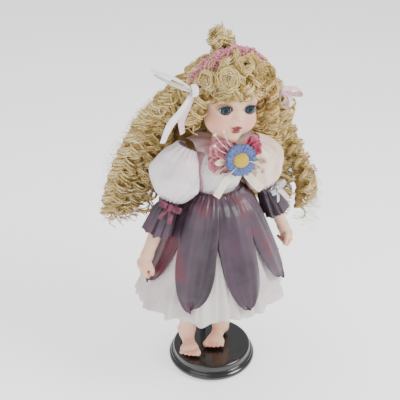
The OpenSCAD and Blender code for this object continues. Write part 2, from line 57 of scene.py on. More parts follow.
WAIST = 247.0            # height of the waist seam above the table
AXIS_Y = -4.0            # the body stands this far in front of the base's middle
LEAN_FORWARD = 6.0       # degrees
LEAN_SIDE = 4.0
HEAD_TURN = 5.0
SKULL = np.array([0.0, -4.0, 112.0])
SKULL_R = 31.0
EYE_R = 7.5
EYE = np.array([13.3, -26.5, 104.0])
SHOULDER = np.array([38.0, 0.0, 39.0])
SIDE_PLANE = 33.8        # the body ends here, and the arms begin
ARM_SPLAY = 24.0
ARM_LEN = 150.0
PUFF_END = 0.33 * ARM_LEN
CUFF_END = 0.62 * ARM_LEN
FLARE_Z = -11.0
FLARE_R = 34.0
HEM_R = 90.0
HEM_DROP = 136.0
CLOTH_EDGE = 33.5        # the bodice is pressed flat here, inside the side plane
COLLAR_EDGE = 33.2
ARM_ROOM = 39.5          # the hair hangs at least this far back where the arms swing
GOLDEN = 0.618           # steps of this share of a whole spread evenly, with no pattern that shows


# ---------- Places ----------

def shift(x, y, z):
    place = np.eye(4)
    place[:3, 3] = (x, y, z)
    return place


def turn(axis, degrees):
    """A right-handed turn about one of the axes."""
    a = math.radians(degrees)
    i, j = {"x": (1, 2), "y": (2, 0), "z": (0, 1)}[axis]
    place = np.eye(4)
    place[i, i] = place[j, j] = math.cos(a)
    place[i, j] = -math.sin(a)
    place[j, i] = math.sin(a)
    return place


def put(place, points):
    return np.asarray(points, float) @ place[:3, :3].T + place[:3, 3]


TABLE = np.eye(4)
UPRIGHT = shift(0, AXIS_Y, WAIST)                       # the skirts hang upright about the waist
BODY = UPRIGHT @ turn("y", LEAN_SIDE) @ turn("x", LEAN_FORWARD)
HEAD = BODY @ turn("z", -HEAD_TURN)
ARM = {side: BODY @ shift(side * SHOULDER[0], SHOULDER[1], SHOULDER[2]) @ turn("x", -LEAN_FORWARD)
       @ turn("y", -side * ARM_SPLAY - LEAN_SIDE) for side in (RIGHT, LEFT)}


# ---------- Making meshes ----------

def ripple(points, size, seed):
    """A smooth random field between about -1 and 1, with bumps of about the given size."""
    waves = 7
    rng = np.random.default_rng(seed)
    field = np.zeros(points.shape[:-1])
    for _ in range(waves):
        direction = rng.normal(size=3)
        direction *= 2 * math.pi / size / np.linalg.norm(direction) * rng.uniform(0.6, 1.4)
        field += np.sin(points @ direction + rng.uniform(0, 2 * math.pi))
    return field / math.sqrt(waves) / 1.3


def smooth_step(low, high, x):
    t = np.clip((x - low) / (high - low), 0, 1)
    return t * t * (3 - 2 * t)


def path(stations, count):
    """Points at even steps of a smooth curve through the stations (Catmull-Rom)."""
    p = np.asarray(stations, float)
    p = np.vstack([2 * p[0] - p[1], p, 2 * p[-1] - p[-2]])
    t = np.linspace(0, len(p) - 3 - 1e-9, count)
    i = t.astype(int)
    f = (t - i)[:, None]
    a, b, c, d = p[i], p[i + 1], p[i + 2], p[i + 3]
    return 0.5 * (2 * b + (c - a) * f + (2 * a - 5 * b + 4 * c - d) * f ** 2
                  + (3 * b - a - 3 * c + d) * f ** 3)


def weave(grid, loop=False):
    """Points, faces and each corner's UV of a grid of points. A loop joins its last column to its first."""
    rows, cols = grid.shape[:2]
    index = np.arange(rows * cols).reshape(rows, cols)
    wide = cols if loop else cols - 1
    r, c = np.meshgrid(np.arange(rows - 1), np.arange(wide), indexing="ij")
    r, c = r.ravel(), c.ravel()
    corners = [(r, c), (r, c + 1), (r + 1, c + 1), (r + 1, c)]
    faces = np.stack([index[y, x % cols] for y, x in corners], axis=1)
    uv = np.stack([np.stack([x / wide, y / (rows - 1)], axis=1) for y, x in corners], axis=1)
    return grid.reshape(-1, 3), faces, uv.reshape(-1, 2)


def joined(parts):
    """Several (points, faces, uv) as one."""
    points, faces, uvs, first = [], [], [], 0
    for p, f, uv in parts:
        points.append(p)
        faces.extend((np.asarray(f) + first).tolist())
        uvs.append(uv)
        first += len(p)
    return np.vstack(points), faces, np.vstack(uvs)


def skin(distance, low, high, step):
    """Points and faces of the surface where a signed distance is zero, found on a grid (surface nets)."""
    axes = [np.arange(l, h + step, step) for l, h in zip(low, high)]
    value = distance(np.stack(np.meshgrid(*axes, indexing="ij"), axis=-1))
    cells = np.array(value.shape) - 1
    total = np.zeros((*cells, 3))
    count = np.zeros(cells)
    quads = []
    for k in range(3):
        a = np.take(value, range(value.shape[k] - 1), axis=k)
        b = np.take(value, range(1, value.shape[k]), axis=k)
        crossing = (a < 0) != (b < 0)
        spot = np.argwhere(crossing)
        va, vb = a[crossing], b[crossing]
        point = spot.astype(float)
        point[:, k] += va / (va - vb)
        u, v = (k + 1) % 3, (k + 2) % 3
        around = []
        for du, dv in ((0, 0), (-1, 0), (-1, -1), (0, -1)):
            cell = spot.copy()
            cell[:, u] += du
            cell[:, v] += dv
            around.append(cell)
        inside = np.all([(c >= 0).all(1) & (c < cells).all(1) for c in around], axis=0)
        for cell in around:
            np.add.at(total, tuple(cell[inside].T), point[inside])
            np.add.at(count, tuple(cell[inside].T), 1)
        corners = np.stack([np.ravel_multi_index(c[inside].T, cells) for c in around], axis=1)
        out = va[inside] > 0
        corners[out] = corners[out][:, ::-1]
        quads.append(corners)
    used = count.ravel() > 0
    points = total.reshape(-1, 3)[used] / count.ravel()[used][:, None] * step + np.array(low)
    number = np.cumsum(used) - 1
    return points, number[np.vstack(quads)]


def make(name, shape, body, finish, place=TABLE, replaces=(), wall=0.0, levels=0, tint=None):
    """A piece made from (points, faces) or (points, faces, uv), which rides on a body."""
    points, faces = shape[0], shape[1]
    mesh = bpy.data.meshes.new(name)
    mesh.from_pydata((put(place, points) * MM).tolist(), [], np.asarray(faces).tolist())
    mesh.update()
    if len(shape) > 2:
        mesh.uv_layers.new(name="cut").data.foreach_set("uv", np.asarray(shape[2], np.float32).ravel())
    if tint is not None:
        colours = mesh.attributes.new("tint", "FLOAT_COLOR", "POINT")
        colours.data.foreach_set("color",
                                 np.hstack([tint, np.ones((len(tint), 1))]).astype(np.float32).ravel())
    mesh.polygons.foreach_set("use_smooth", [True] * len(mesh.polygons))
    mesh.materials.append(finish)
    item = bpy.data.objects.new(name, mesh)
    bpy.context.scene.collection.objects.link(item)
    if wall:
        thick = item.modifiers.new("wall", "SOLIDIFY")
        thick.thickness = wall * MM
        thick.offset = 0
    if levels:
        fine = item.modifiers.new("fine", "SUBSURF")
        fine.levels = fine.render_levels = levels
    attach(item, body)
    if replaces:
        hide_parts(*replaces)
    return item


# ---------- Signed distances ----------

def ball(p, centre, r):
    return np.linalg.norm(p - np.array(centre), axis=-1) - r


def egg(p, centre, radii):
    """Nearly the distance to an ellipsoid."""
    q = (p - np.array(centre)) / np.array(radii)
    far = np.linalg.norm(q, axis=-1)
    steep = np.linalg.norm(q / np.array(radii), axis=-1) + 1e-9
    return far * (far - 1) / steep


def limb(p, a, b, ra, rb):
    """A capsule from a to b whose radius changes evenly."""
    a, b = np.array(a, float), np.array(b, float)
    along = np.clip((p - a) @ (b - a) / ((b - a) @ (b - a)), 0, 1)
    return np.linalg.norm(p - a - along[..., None] * (b - a), axis=-1) - ra - (rb - ra) * along


def chain(p, stations):
    """Limbs through [x, y, z, radius] stations."""
    return np.minimum.reduce([limb(p, a[:3], b[:3], a[3], b[3]) for a, b in zip(stations, stations[1:])])


def blend(a, b, k):
    """The union of two distances, rounded over about k."""
    h = np.clip(0.5 + 0.5 * (b - a) / k, 0, 1)
    return b + (a - b) * h - k * h * (1 - h)


def carve(a, b, k):
    """a with b taken away, rounded over about k."""
    return -blend(-a, b, k)


# ---------- Finishes ----------

def paint(code):
    """An sRGB hex colour as linear RGBA."""
    parts = [int(code[i:i + 2], 16) / 255 for i in (1, 3, 5)]
    return (*[v / 12.92 if v <= 0.04045 else ((v + 0.055) / 1.055) ** 2.4 for v in parts], 1.0)


def add(tree, kind, inputs=None, **settings):
    """A node with its settings; an input is a value or another node's output."""
    made = tree.nodes.new(kind)
    for key, value in settings.items():
        setattr(made, key, value)
    for key, value in (inputs or {}).items():
        if isinstance(value, bpy.types.NodeSocket):
            tree.links.new(value, made.inputs[key])
        else:
            made.inputs[key].default_value = value
    return made


def finish(name, **shader):
    """A material with a Principled shader whose sockets are set directly."""
    material = bpy.data.materials.new(name)
    material.use_nodes = True
    tree = material.node_tree
    tree.nodes.clear()
    surface = add(tree, "ShaderNodeBsdfPrincipled", {k.replace("_", " "): v for k, v in shader.items()})
    add(tree, "ShaderNodeOutputMaterial", {"Surface": surface.outputs[0]})
    return material, tree, surface


def colour_ramp(tree, value, stops):
    """The colour that a value has between (position, colour) stops."""
    ramp = add(tree, "ShaderNodeValToRGB", {"Fac": value})
    elements = ramp.color_ramp.elements
    while len(elements) < len(stops):
        elements.new(0.5)
    for element, (position, colour) in zip(elements, stops):
        element.position = position
        element.color = paint(colour)
    return ramp.outputs["Color"]


def evenly(colours, low, high):
    """Stops for these colours, evenly apart."""
    return [(low + (high - low) * k / (len(colours) - 1), colour) for k, colour in enumerate(colours)]


def mottled(tree, surface, colours, size, where):
    """Base colour that wanders between colours in patches of about the given size in mm."""
    noise = add(tree, "ShaderNodeTexNoise", {"Vector": where, "Scale": 1 / (size * MM), "Detail": 3.0})
    colour = colour_ramp(tree, noise.outputs["Fac"], evenly(colours, 0.35, 0.65))
    tree.links.new(colour, surface.inputs["Base Color"])


def bumped(tree, surface, heights):
    """Bump from several (height output, depth in mm) in turn."""
    normal = None
    for height, depth in heights:
        inputs = {"Height": height, "Distance": depth * MM, "Strength": 1.0}
        if normal:
            inputs["Normal"] = normal
        normal = add(tree, "ShaderNodeBump", inputs).outputs["Normal"]
    tree.links.new(normal, surface.inputs["Normal"])


def threads(tree, where, pitch):
    """Height of a plain weave: warp and weft as crossing bands, pitch mm apart."""
    waves = []
    for way in "XZ":
        bands = add(tree, "ShaderNodeTexWave",
                    {"Vector": where, "Scale": 0.31 / (pitch * MM), "Distortion": 0.4, "Detail": 1.0},
                    bands_direction=way)
        waves.append(bands.outputs["Fac"])
    return add(tree, "ShaderNodeMath", {0: waves[0], 1: waves[1]}, operation="ADD").outputs[0]


def cloth(name, colours, patch=18.0, pitch=0.9, depth=0.05, crease=6.0, crease_depth=0.5, **shader):
    """A woven cloth: dye that wanders, a plain weave and small creases.

    The real threads are about 0.2 mm apart; pitch draws them coarse enough to be seen.
    """
    material, tree, surface = finish(name, **shader)
    where = add(tree, "ShaderNodeTexCoord").outputs["Object"]
    mottled(tree, surface, colours, patch, where)
    creases = add(tree, "ShaderNodeTexNoise", {"Vector": where, "Scale": 1 / (crease * MM), "Detail": 4.0,
                                               "Distortion": 0.6})
    bumped(tree, surface, [(creases.outputs["Fac"], crease_depth), (threads(tree, where, pitch), depth)])
    return material


# Bisque: unglazed china, so it is matt, with tints fired into it and a very fine grain.
def bisque_finish():
    material, tree, surface = finish("bisque_porcelain", Roughness=0.42, Specular_IOR_Level=0.4,
                                     Subsurface_Weight=0.12, Subsurface_Scale=0.004, IOR=1.5)
    surface.inputs["Subsurface Radius"].default_value = (1.0, 0.45, 0.3)
    tint = add(tree, "ShaderNodeAttribute", attribute_name="tint")
    where = add(tree, "ShaderNodeTexCoord").outputs["Object"]
    cloud = add(tree, "ShaderNodeTexNoise", {"Vector": where, "Scale": 60.0, "Detail": 3.0})
    soft = add(tree, "ShaderNodeMapRange", {"Value": cloud.outputs["Fac"], "To Min": 0.93, "To Max": 1.05})
    mixed = add(tree, "ShaderNodeVectorMath", {0: tint.outputs["Color"], 1: soft.outputs[0]},
                operation="MULTIPLY")
    tree.links.new(mixed.outputs[0], surface.inputs["Base Color"])
    grain = add(tree, "ShaderNodeTexNoise", {"Vector": where, "Scale": 2500.0, "Detail": 2.0})
    bumped(tree, surface, [(grain.outputs["Fac"], 0.02)])
    return material


# Blown glass eye: a wet-looking cornea over a threaded iris.
def eye_finish():
    material, tree, surface = finish("blown_glass_eye", Roughness=0.1, Specular_IOR_Level=0.22,
                                     Coat_Weight=0.12, Coat_Roughness=0.02, IOR=1.45)
    uv = add(tree, "ShaderNodeTexCoord").outputs["UV"]
    split = add(tree, "ShaderNodeSeparateXYZ", {"Vector": uv})
    stretched = add(tree, "ShaderNodeMapping", {"Vector": uv, "Scale": (60.0, 3.0, 1.0)})
    streaks = add(tree, "ShaderNodeTexNoise", {"Vector": stretched.outputs[0], "Scale": 1.0, "Detail": 3.0})
    rings = [(0.0, "#020304"), (0.092, "#020405"), (0.105, "#1d525e"), (0.16, "#123c48"), (0.215, "#071e27"),
             (0.238, "#040e13"), (0.25, "#c4bab0"), (0.5, "#cbc1b8")]
    iris = colour_ramp(tree, split.outputs["Y"], rings)
    shade = add(tree, "ShaderNodeMapRange",
                {"Value": streaks.outputs["Fac"], "From Min": 0.3, "From Max": 0.7, "To Min": 0.6,
                 "To Max": 1.4})
    mixed = add(tree, "ShaderNodeVectorMath", {0: iris, 1: shade.outputs[0]}, operation="MULTIPLY")
    tree.links.new(mixed.outputs[0], surface.inputs["Base Color"])
    return material


# Mohair dyed golden: each strand has its own tone and a soft gleam along it.
def hair_finish(name, colours, rough):
    material, tree, surface = finish(name, Roughness=rough, Specular_IOR_Level=0.5, Sheen_Weight=0.15,
                                     Sheen_Roughness=0.4)
    surface.inputs["Sheen Tint"].default_value = paint("#ffe9b0")
    tone = add(tree, "ShaderNodeAttribute", attribute_name="tone")
    where = add(tree, "ShaderNodeTexCoord").outputs["Object"]
    bands = add(tree, "ShaderNodeTexNoise", {"Vector": where, "Scale": 90.0, "Detail": 3.0})
    total = add(tree, "ShaderNodeMath", {0: tone.outputs["Fac"], 1: bands.outputs["Fac"]}, operation="ADD")
    half = add(tree, "ShaderNodeMath", {0: total.outputs[0], 1: 0.5}, operation="MULTIPLY")
    colour = colour_ramp(tree, half.outputs[0], evenly(colours, 0.2, 0.8))
    tree.links.new(colour, surface.inputs["Base Color"])
    return material


# Turned wood under black lacquer: deep gloss, a trace of grain and orange peel, dust in it.
def lacquer_finish():
    material, tree, surface = finish("black_lacquered_wood", Roughness=0.2, Coat_Weight=0.6,
                                     Coat_Roughness=0.08, Specular_IOR_Level=0.5)
    where = add(tree, "ShaderNodeTexCoord").outputs["Object"]
    mottled(tree, surface, ["#0b0a0a", "#171412", "#0e0d0d"], 9.0, where)
    peel = add(tree, "ShaderNodeTexNoise", {"Vector": where, "Scale": 260.0, "Detail": 2.0})
    grain = add(tree, "ShaderNodeTexWave", {"Vector": where, "Scale": 60.0, "Distortion": 6.0, "Detail": 3.0})
    bumped(tree, surface, [(peel.outputs["Fac"], 0.05), (grain.outputs["Fac"], 0.02)])
    return material


def plain_metal(name, colours, rough, metallic, scratch):
    material, tree, surface = finish(name, Roughness=rough, Metallic=metallic)
    where = add(tree, "ShaderNodeTexCoord").outputs["Object"]
    mottled(tree, surface, colours, 4.0, where)
    drawn = add(tree, "ShaderNodeMapping", {"Vector": where, "Scale": (1500.0, 1500.0, 60.0)})
    lines = add(tree, "ShaderNodeTexNoise", {"Vector": drawn.outputs[0], "Scale": 1.0, "Detail": 2.0})
    bumped(tree, surface, [(lines.outputs["Fac"], scratch)])
    return material


BISQUE = bisque_finish()
EYE_GLASS = eye_finish()
HAIR = hair_finish("curled_mohair", ["#957636", "#d0ae62", "#efd794", "#fff4cc"], 0.32)
UNDER_HAIR = hair_finish("mohair_weft", ["#8a6e36", "#ba9a54", "#d6ba76"], 0.55)
LASH = hair_finish("lash_hair", ["#1c0f0b", "#2a1710"], 0.5)
LACQUER = lacquer_finish()
PLATED = plain_metal("nickel_plated_steel", ["#a9abad", "#c4c6c8"], 0.22, 1.0, 0.004)
ENAMEL = plain_metal("black_enamelled_steel", ["#0d0d0d", "#181818"], 0.35, 0.0, 0.01)
FELT = cloth("wool_felt", ["#0b0b0b", "#161616"], pitch=0.6, depth=0.1, Roughness=1.0, Sheen_Weight=0.3)
MUSLIN = cloth("stuffed_muslin", ["#d9c6b0", "#e6d7c4"], pitch=0.8, depth=0.06, Roughness=0.9)
THREAD = cloth("waxed_thread", ["#cbb99f", "#ded0ba"], pitch=0.5, Roughness=0.8)
CARD = cloth("pressed_card", ["#ded8cc", "#eae5da"], pitch=0.5, depth=0.01, Roughness=0.95)
# Shot taffeta: crisp, with a dull silver-violet face and a wine-red gleam where it bends.
# Its last colour stop, wine-red, sets the shot red in random patches of the base colour: partly the cloth's
# own colour, partly a painted glint.
TAFFETA = cloth("shot_taffeta", ["#33272f", "#433440", "#4d3a48", "#63323e"], patch=46.0, pitch=0.6,
                depth=0.02, crease=16.0, crease_depth=0.8, Roughness=0.36, Sheen_Weight=0.22,
                Sheen_Roughness=0.3, Sheen_Tint=paint("#c0505e"), Specular_IOR_Level=0.6)
LILAC_SATIN = cloth("lilac_satin", ["#dccbd3", "#eee3e8", "#e5d7de"], patch=34.0, pitch=0.6, depth=0.015,
                    crease_depth=0.5, Roughness=0.36, Sheen_Weight=0.2, Sheen_Tint=paint("#ffe9f2"))
PEACH_SATIN = cloth("peach_satin", ["#e6c2ae", "#f4dccb", "#ebcbb9"], patch=34.0, pitch=0.6, depth=0.015,
                    crease_depth=0.5, Roughness=0.36, Sheen_Weight=0.2, Sheen_Tint=paint("#ffe6d2"))
VELVET = cloth("white_velvet", ["#dcd6d6", "#f0ecec", "#e6e1e2"], patch=5.0, crease=3.0, crease_depth=0.7,
               Roughness=0.8, Sheen_Weight=0.8, Sheen_Roughness=0.3, Sheen_Tint=paint("#ffffff"))
MAUVE_SATIN = cloth("mauve_satin", ["#b98992", "#cfa4aa", "#c2939b"], pitch=0.6, depth=0.02, Roughness=0.35,
                    Sheen_Weight=0.2)
ORGANZA = cloth("mauve_organza", ["#dcbac2", "#ecd2d8"], pitch=0.9, depth=0.03, Roughness=0.5, Alpha=0.66,
                Sheen_Weight=0.2)
PALE_ORGANZA = cloth("cream_organza", ["#e8d6c8", "#f5eadf"], pitch=0.9, depth=0.05, Roughness=0.5,
                     Alpha=0.75, Sheen_Weight=0.2)
TULLE = cloth("tulle_net", ["#e2d8d4", "#efe7e3", "#e8dcd9"], patch=30.0, pitch=1.6, depth=0.1, crease=9.0,
              crease_depth=0.6, Roughness=0.8, Alpha=0.8, Sheen_Weight=0.2)
LINING = cloth("lining_taffeta", ["#cfc4c0", "#e0d6d2"], patch=22.0, pitch=0.8, Roughness=0.6)
WHITE_SATIN = cloth("white_satin_ribbon", ["#e6e0dd", "#f7f4f2"], patch=7.0, pitch=0.5, depth=0.01,
                    crease_depth=0.2, Roughness=0.26, Sheen_Weight=0.15)
PINK_SATIN = cloth("pale_pink_satin", ["#e3bcc2", "#f2d8da"], patch=7.0, pitch=0.5, depth=0.01,
                   crease_depth=0.2, Roughness=0.28, Sheen_Weight=0.15)
CREAM_SATIN = cloth("cream_satin", ["#e2d2b8", "#f3e8d4"], patch=7.0, pitch=0.5, depth=0.01,
                    crease_depth=0.2, Roughness=0.3, Sheen_Weight=0.15)
PEACH_SHEER = cloth("peach_sheer_ribbon", ["#e9c3a6", "#f5dcc6"], patch=7.0, pitch=0.6, depth=0.02,
                    crease_depth=0.2, Roughness=0.4, Alpha=0.8)
WINE_SATIN = cloth("wine_satin", ["#4a1c2c", "#6f2f44"], patch=6.0, pitch=0.5, depth=0.02, Roughness=0.3,
                   Sheen_Weight=0.2, Sheen_Tint=paint("#c05070"))
ROSE_CLOTH = cloth("rose_pink_cloth", ["#bd707c", "#db98a0", "#cb808a"], patch=5.0, pitch=0.5, depth=0.03,
                   Roughness=0.55, Sheen_Weight=0.3, Sheen_Tint=paint("#ffc4c8"))
MAGENTA_CLOTH = cloth("magenta_cloth", ["#a83f5c", "#cc6480"], patch=5.0, pitch=0.5, depth=0.03,
                      Roughness=0.5, Sheen_Weight=0.3, Sheen_Tint=paint("#ff9ab8"))
BLUE_CLOTH = cloth("blue_cloth", ["#3c4c80", "#6377a8", "#4c5d92"], patch=4.0, pitch=0.5, depth=0.03,
                   Roughness=0.5, Sheen_Weight=0.3, Sheen_Tint=paint("#b8c8ff"))
FLOSS = cloth("yellow_floss", ["#d9a800", "#f5d02a"], patch=1.5, pitch=0.5, depth=0.2, crease=1.2,
              crease_depth=0.3, Roughness=0.85, Sheen_Weight=0.3)
LEAF_CLOTH = cloth("cream_leaf_cloth", ["#d8cba4", "#ece2c4"], patch=4.0, Roughness=0.6)
SILVER_RIBBON = cloth("silver_metallic_ribbon", ["#a9a9ae", "#d2d2d6"], patch=4.0, pitch=0.6, depth=0.05,
                      Roughness=0.3, Metallic=0.7)
PEARL = cloth("pearl_paint", ["#dcd7d6", "#f1edec"], patch=3.0, pitch=0.5, depth=0.0, crease_depth=0.02,
              Roughness=0.15, Coat_Weight=0.6)


# ---------- Floor, lights and camera ----------

def aim(item, place, target):
    item.location = place
    item.rotation_euler = (Vector(target) - Vector(place)).to_track_quat("-Z", "Y").to_euler()
    bpy.context.scene.collection.objects.link(item)


def studio():
    half = 7.0
    mesh = bpy.data.meshes.new("floor")
    mesh.from_pydata([(-half, -half, 0), (half, -half, 0), (half, half, 0), (-half, half, 0)], [],
                     [(0, 1, 2, 3)])
    mesh.materials.append(finish("pale_floor", Base_Color=paint("#f8f8f7"), Roughness=0.9,
                                 Emission_Color=paint("#ffffff"), Emission_Strength=0.9)[0])
    floor = bpy.data.objects.new("floor", mesh)
    bpy.context.scene.collection.objects.link(floor)
    for name, place, size, power in (("key", (0.75, -0.75, 1.05), 0.55, 17),
                                     ("fill", (-0.95, -0.6, 0.7), 1.0, 4.5),
                                     ("top", (-0.1, 0.35, 1.4), 0.9, 9)):
        light = bpy.data.lights.new(name, "AREA")
        light.size = size
        light.energy = power
        aim(bpy.data.objects.new(name, light), place, (0, 0, 0.25))
    world = bpy.data.worlds.new("room")
    world.use_nodes = True
    sky = world.node_tree.nodes["Background"]
    sky.inputs["Color"].default_value = (0.93, 0.95, 1.0, 1.0)
    sky.inputs["Strength"].default_value = 0.72
    bpy.context.scene.world = world


CAMERA_PLACE = (-0.309, -0.628, 0.600)
CAMERA_DOWN = 28.3       # degrees below the level
CAMERA_TURN = -25.0


def camera():
    lens = bpy.data.cameras.new("camera")
    lens.lens = 63.2
    lens.sensor_width = 36.0
    lens.clip_start = 0.05
    item = bpy.data.objects.new("camera", lens)
    item.location = CAMERA_PLACE
    item.rotation_euler = (math.radians(90 - CAMERA_DOWN), 0, math.radians(CAMERA_TURN))
    bpy.context.scene.collection.objects.link(item)
    bpy.context.scene.camera = item


# ---------- Stand ----------

def lathe(profile, steps=96):
    """A closed turned solid from [radius, z] points that start and end on the axis."""
    profile = np.asarray(profile, float)
    a = np.linspace(0, 2 * math.pi, steps, endpoint=False)
    ring = np.stack([np.cos(a), np.sin(a)], axis=1)
    grid = np.empty((len(profile), steps, 3))
    grid[..., :2] = profile[:, None, :1] * ring
    grid[..., 2] = profile[:, 1:]
    return weave(grid[::-1], loop=True)


def arc(x, y, r, a, b):
    """Points of an arc about (x, y), from a to b degrees."""
    t = np.radians(np.linspace(a, b, 8))
    return np.stack([x + r * np.cos(t), y + r * np.sin(t)], axis=1).tolist()


def seal(item):
    """Joins the points that meet at a pole or along a seam."""
    work = bmesh.new()
    work.from_mesh(item.data)
    bmesh.ops.remove_doubles(work, verts=work.verts, dist=1e-6)
    work.to_mesh(item.data)
    work.free()
    return item


def stand():
    low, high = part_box("stand_base")
    edge = high[0] / MM
    foot_z, top_z = low[2] / MM, high[2] / MM
    profile = ([[0, foot_z]] + arc(edge - 4, foot_z + 4, 4, -90, 80)
               + arc(edge - 3, foot_z + 11.9, 2.4, 270, 180) + arc(edge - 8.5, top_z - 3, 3, 0, 90)
               + [[edge - 14, top_z], [0, top_z]])
    base = make("turned_base", lathe(profile, 160), "stand", LACQUER,
                replaces=["stand_base"])
    seal(base)
    ties = [f"{side}_{where}_tie" for side in SIDES for where in ("arm", "leg")]
    for names, material in ((["base_felt"], FELT), (["lower_tube", "upper_rod", "waist_clip"], PLATED),
                            (["rod_stops", "clip_holder"], ENAMEL), (["head_pate"], CARD),
                            (["wig_cap"], UNDER_HAIR), (["wreath_band"], ROSE_CLOTH), (ties, THREAD)):
        for slot in (slot for name in names for slot in nodes[name].material_slots):
            slot.material = material


# ---------- Bisque ----------

def stain(base, points, patches):
    """Colour of each point: the base, with soft patches of (centre, radii, colour, strength, softness)."""
    colour = np.tile(np.array(paint(base)[:3]), (len(points), 1))
    for centre, radii, code, strength, soft in patches:
        far = np.linalg.norm((points - np.array(centre)) / np.array(radii), axis=-1)
        share = (strength * (1 - smooth_step(1 - soft, 1 + soft, far)))[:, None]
        colour = colour * (1 - share) + np.array(paint(code)[:3]) * share
    return colour


BISQUE_SKIN = "#ecbfa3"
LID_R = EYE_R + 0.8
LENS_R = 8.09            # each eye opens between two arcs of this radius
LENS_UP = 3.69           # whose centres lie this far above and below the eye's middle
CROWN_CUT = 125.5        # the casting is open above this height, under the pate
PLATE_EDGE = 23.5        # lower edge of the shoulder plate
BROW_Z = 115.0


def eye_lens(p, side):
    """Distance, seen from the front, to the outline of an open eye."""
    x = p[..., 0] - side * EYE[0]
    z = p[..., 2] - EYE[2]
    low = np.hypot(x, z - LENS_UP) - LENS_R
    high = np.hypot(x, z + LENS_UP) - LENS_R
    return np.maximum(low, high)


def face_form(p):
    """Cranium, cheeks, nose, lips and chin, with the eyes' openings cut."""
    form = blend(ball(p, SKULL, SKULL_R), egg(p, (0, -12, 90), (26, 21.5, 26)), 5)
    for side in (RIGHT, LEFT):
        form = blend(form, ball(p, (side * 13.5, -18.5, 87), 13.2), 6)
    form = blend(form, ball(p, (0, -25.8, 71), 7.2), 6)
    for side in (RIGHT, LEFT):
        form = carve(form, egg(p, (side * EYE[0], -37.5, EYE[2] + 1), (9.5, 5.5, 6.5)), 4)
        form = blend(form, egg(p, (side * 29.5, 2, 96), (4, 6, 8)), 2)
    form = blend(form, limb(p, (0, -32.6, 104), (0, -34.4, 96), 2.2, 3.2), 4)
    for side in (RIGHT, LEFT):
        form = blend(form, ball(p, (side * 3.2, -33.6, 94.6), 2.2), 1.6)
        form = carve(form, ball(p, (side * 1.7, -37.2, 92.6), 0.9), 0.9)
    form = carve(form, limb(p, (0, -36.6, 91), (0, -36.2, 88.2), 1.0, 1.2), 1.6)
    lips = np.minimum(egg(p, (3.0, -33.4, 85.0), (4.4, 3.0, 2.3)),
                      egg(p, (-3.0, -33.4, 85.0), (4.4, 3.0, 2.3)))
    lips = blend(lips, egg(p, (0, -33.2, 80.9), (5.0, 3.2, 2.7)), 0.8)
    form = blend(form, lips, 1.8)
    form = carve(form, egg(p, (0, -37.0, 83.2), (6.6, 2.4, 0.55)), 0.9)
    form = carve(form, egg(p, (0, -34.6, 76.6), (5.0, 1.6, 1.6)), 2.4)
    for side in (RIGHT, LEFT):
        centre = (side * EYE[0], EYE[1], EYE[2])
        form = blend(form, ball(p, centre, LID_R), 1.6)
        opening = np.maximum(eye_lens(p, side), p[..., 1] + 24)
        form = carve(form, opening, 0.5)
        form = np.maximum(form, -ball(p, centre, EYE_R + 0.1))
    return form


def head_form(p):
    turned = p @ turn("z", HEAD_TURN)[:3, :3].T
    form = face_form(turned)
    form = np.maximum(form, p[..., 2] - CROWN_CUT)
    form = blend(form, limb(p, (0, -1, 40), (0, -3, 78), 11.5, 11.0), 6)
    plate = blend(limb(p, (-20, -1, 26), (-6, -3, 32), 12.2, 12.6),
                  limb(p, (20, -1, 26), (6, -3, 32), 12.2, 12.6), 6)
    form = blend(form, plate, 9)
    form = carve(form, limb(p, (-18, -1, 22), (18, -1, 22), 9.5, 9.5), 1)
    return np.maximum(form, PLATE_EDGE - p[..., 2])


def face_tint(points):
    p = points @ turn("z", HEAD_TURN)[:3, :3].T
    patches = [((side * 17.5, -28, 87.5), (11, 12, 9), "#d98468", 0.55, 0.9) for side in (RIGHT, LEFT)]
    patches += [((0, -34, 69), (6, 6, 4), "#e0957c", 0.5, 0.8),
                ((0, -37, 95), (3, 3, 2.6), "#e3a08a", 0.5, 0.8),
                ((0, -36, 85.4), (6.3, 5, 1.7), "#743028", 1.0, 0.3),
                ((0, -36, 80.7), (5.2, 5, 2.7), "#8a4036", 1.0, 0.3),
                ((0, -36, 83.2), (6.6, 5, 0.7), "#5a1f20", 0.9, 0.35)]
    for side in (RIGHT, LEFT):
        patches += [((side * 1.7, -36.4, 92.8), (0.9, 2, 0.8), "#b5624e", 0.9, 0.4)]
    colour = stain(BISQUE_SKIN, p, patches)
    front = p[..., 1] < -18
    for side in (RIGHT, LEFT):
        out = (p[..., 0] * side - EYE[0]) / 7.6
        brow = np.abs(p[..., 2] - (BROW_Z + 2.6 - 2.8 * out ** 2)) - 0.75 * (1 - 0.55 * np.abs(out))
        share = 0.75 * (1 - smooth_step(-0.3, 0.5, brow)) * (np.abs(out) < 1.05) * front
        edge = eye_lens(p, side)
        lid = 0.85 * (1 - smooth_step(0.2, 1.1, edge)) * front
        upper = np.where(p[..., 2] > EYE[2] - 1, lid, 0.55 * lid)
        shade = 0.4 * (1 - smooth_step(1.5, 6.0, edge)) * front * (p[..., 2] > EYE[2])
        for amount, code in ((shade, "#c58f7c"), (share, "#7a4d36"), (upper, "#2a1512")):
            amount = amount[:, None]
            colour = colour * (1 - amount) + np.array(paint(code)[:3]) * amount
    return colour


def head():
    points, faces = skin(head_form, (-37, -41, 22), (37, 32, 127), 0.62)
    make("porcelain_head_skin", (points, faces), "doll", BISQUE, BODY, replaces=["porcelain_head"],
         tint=face_tint(points))


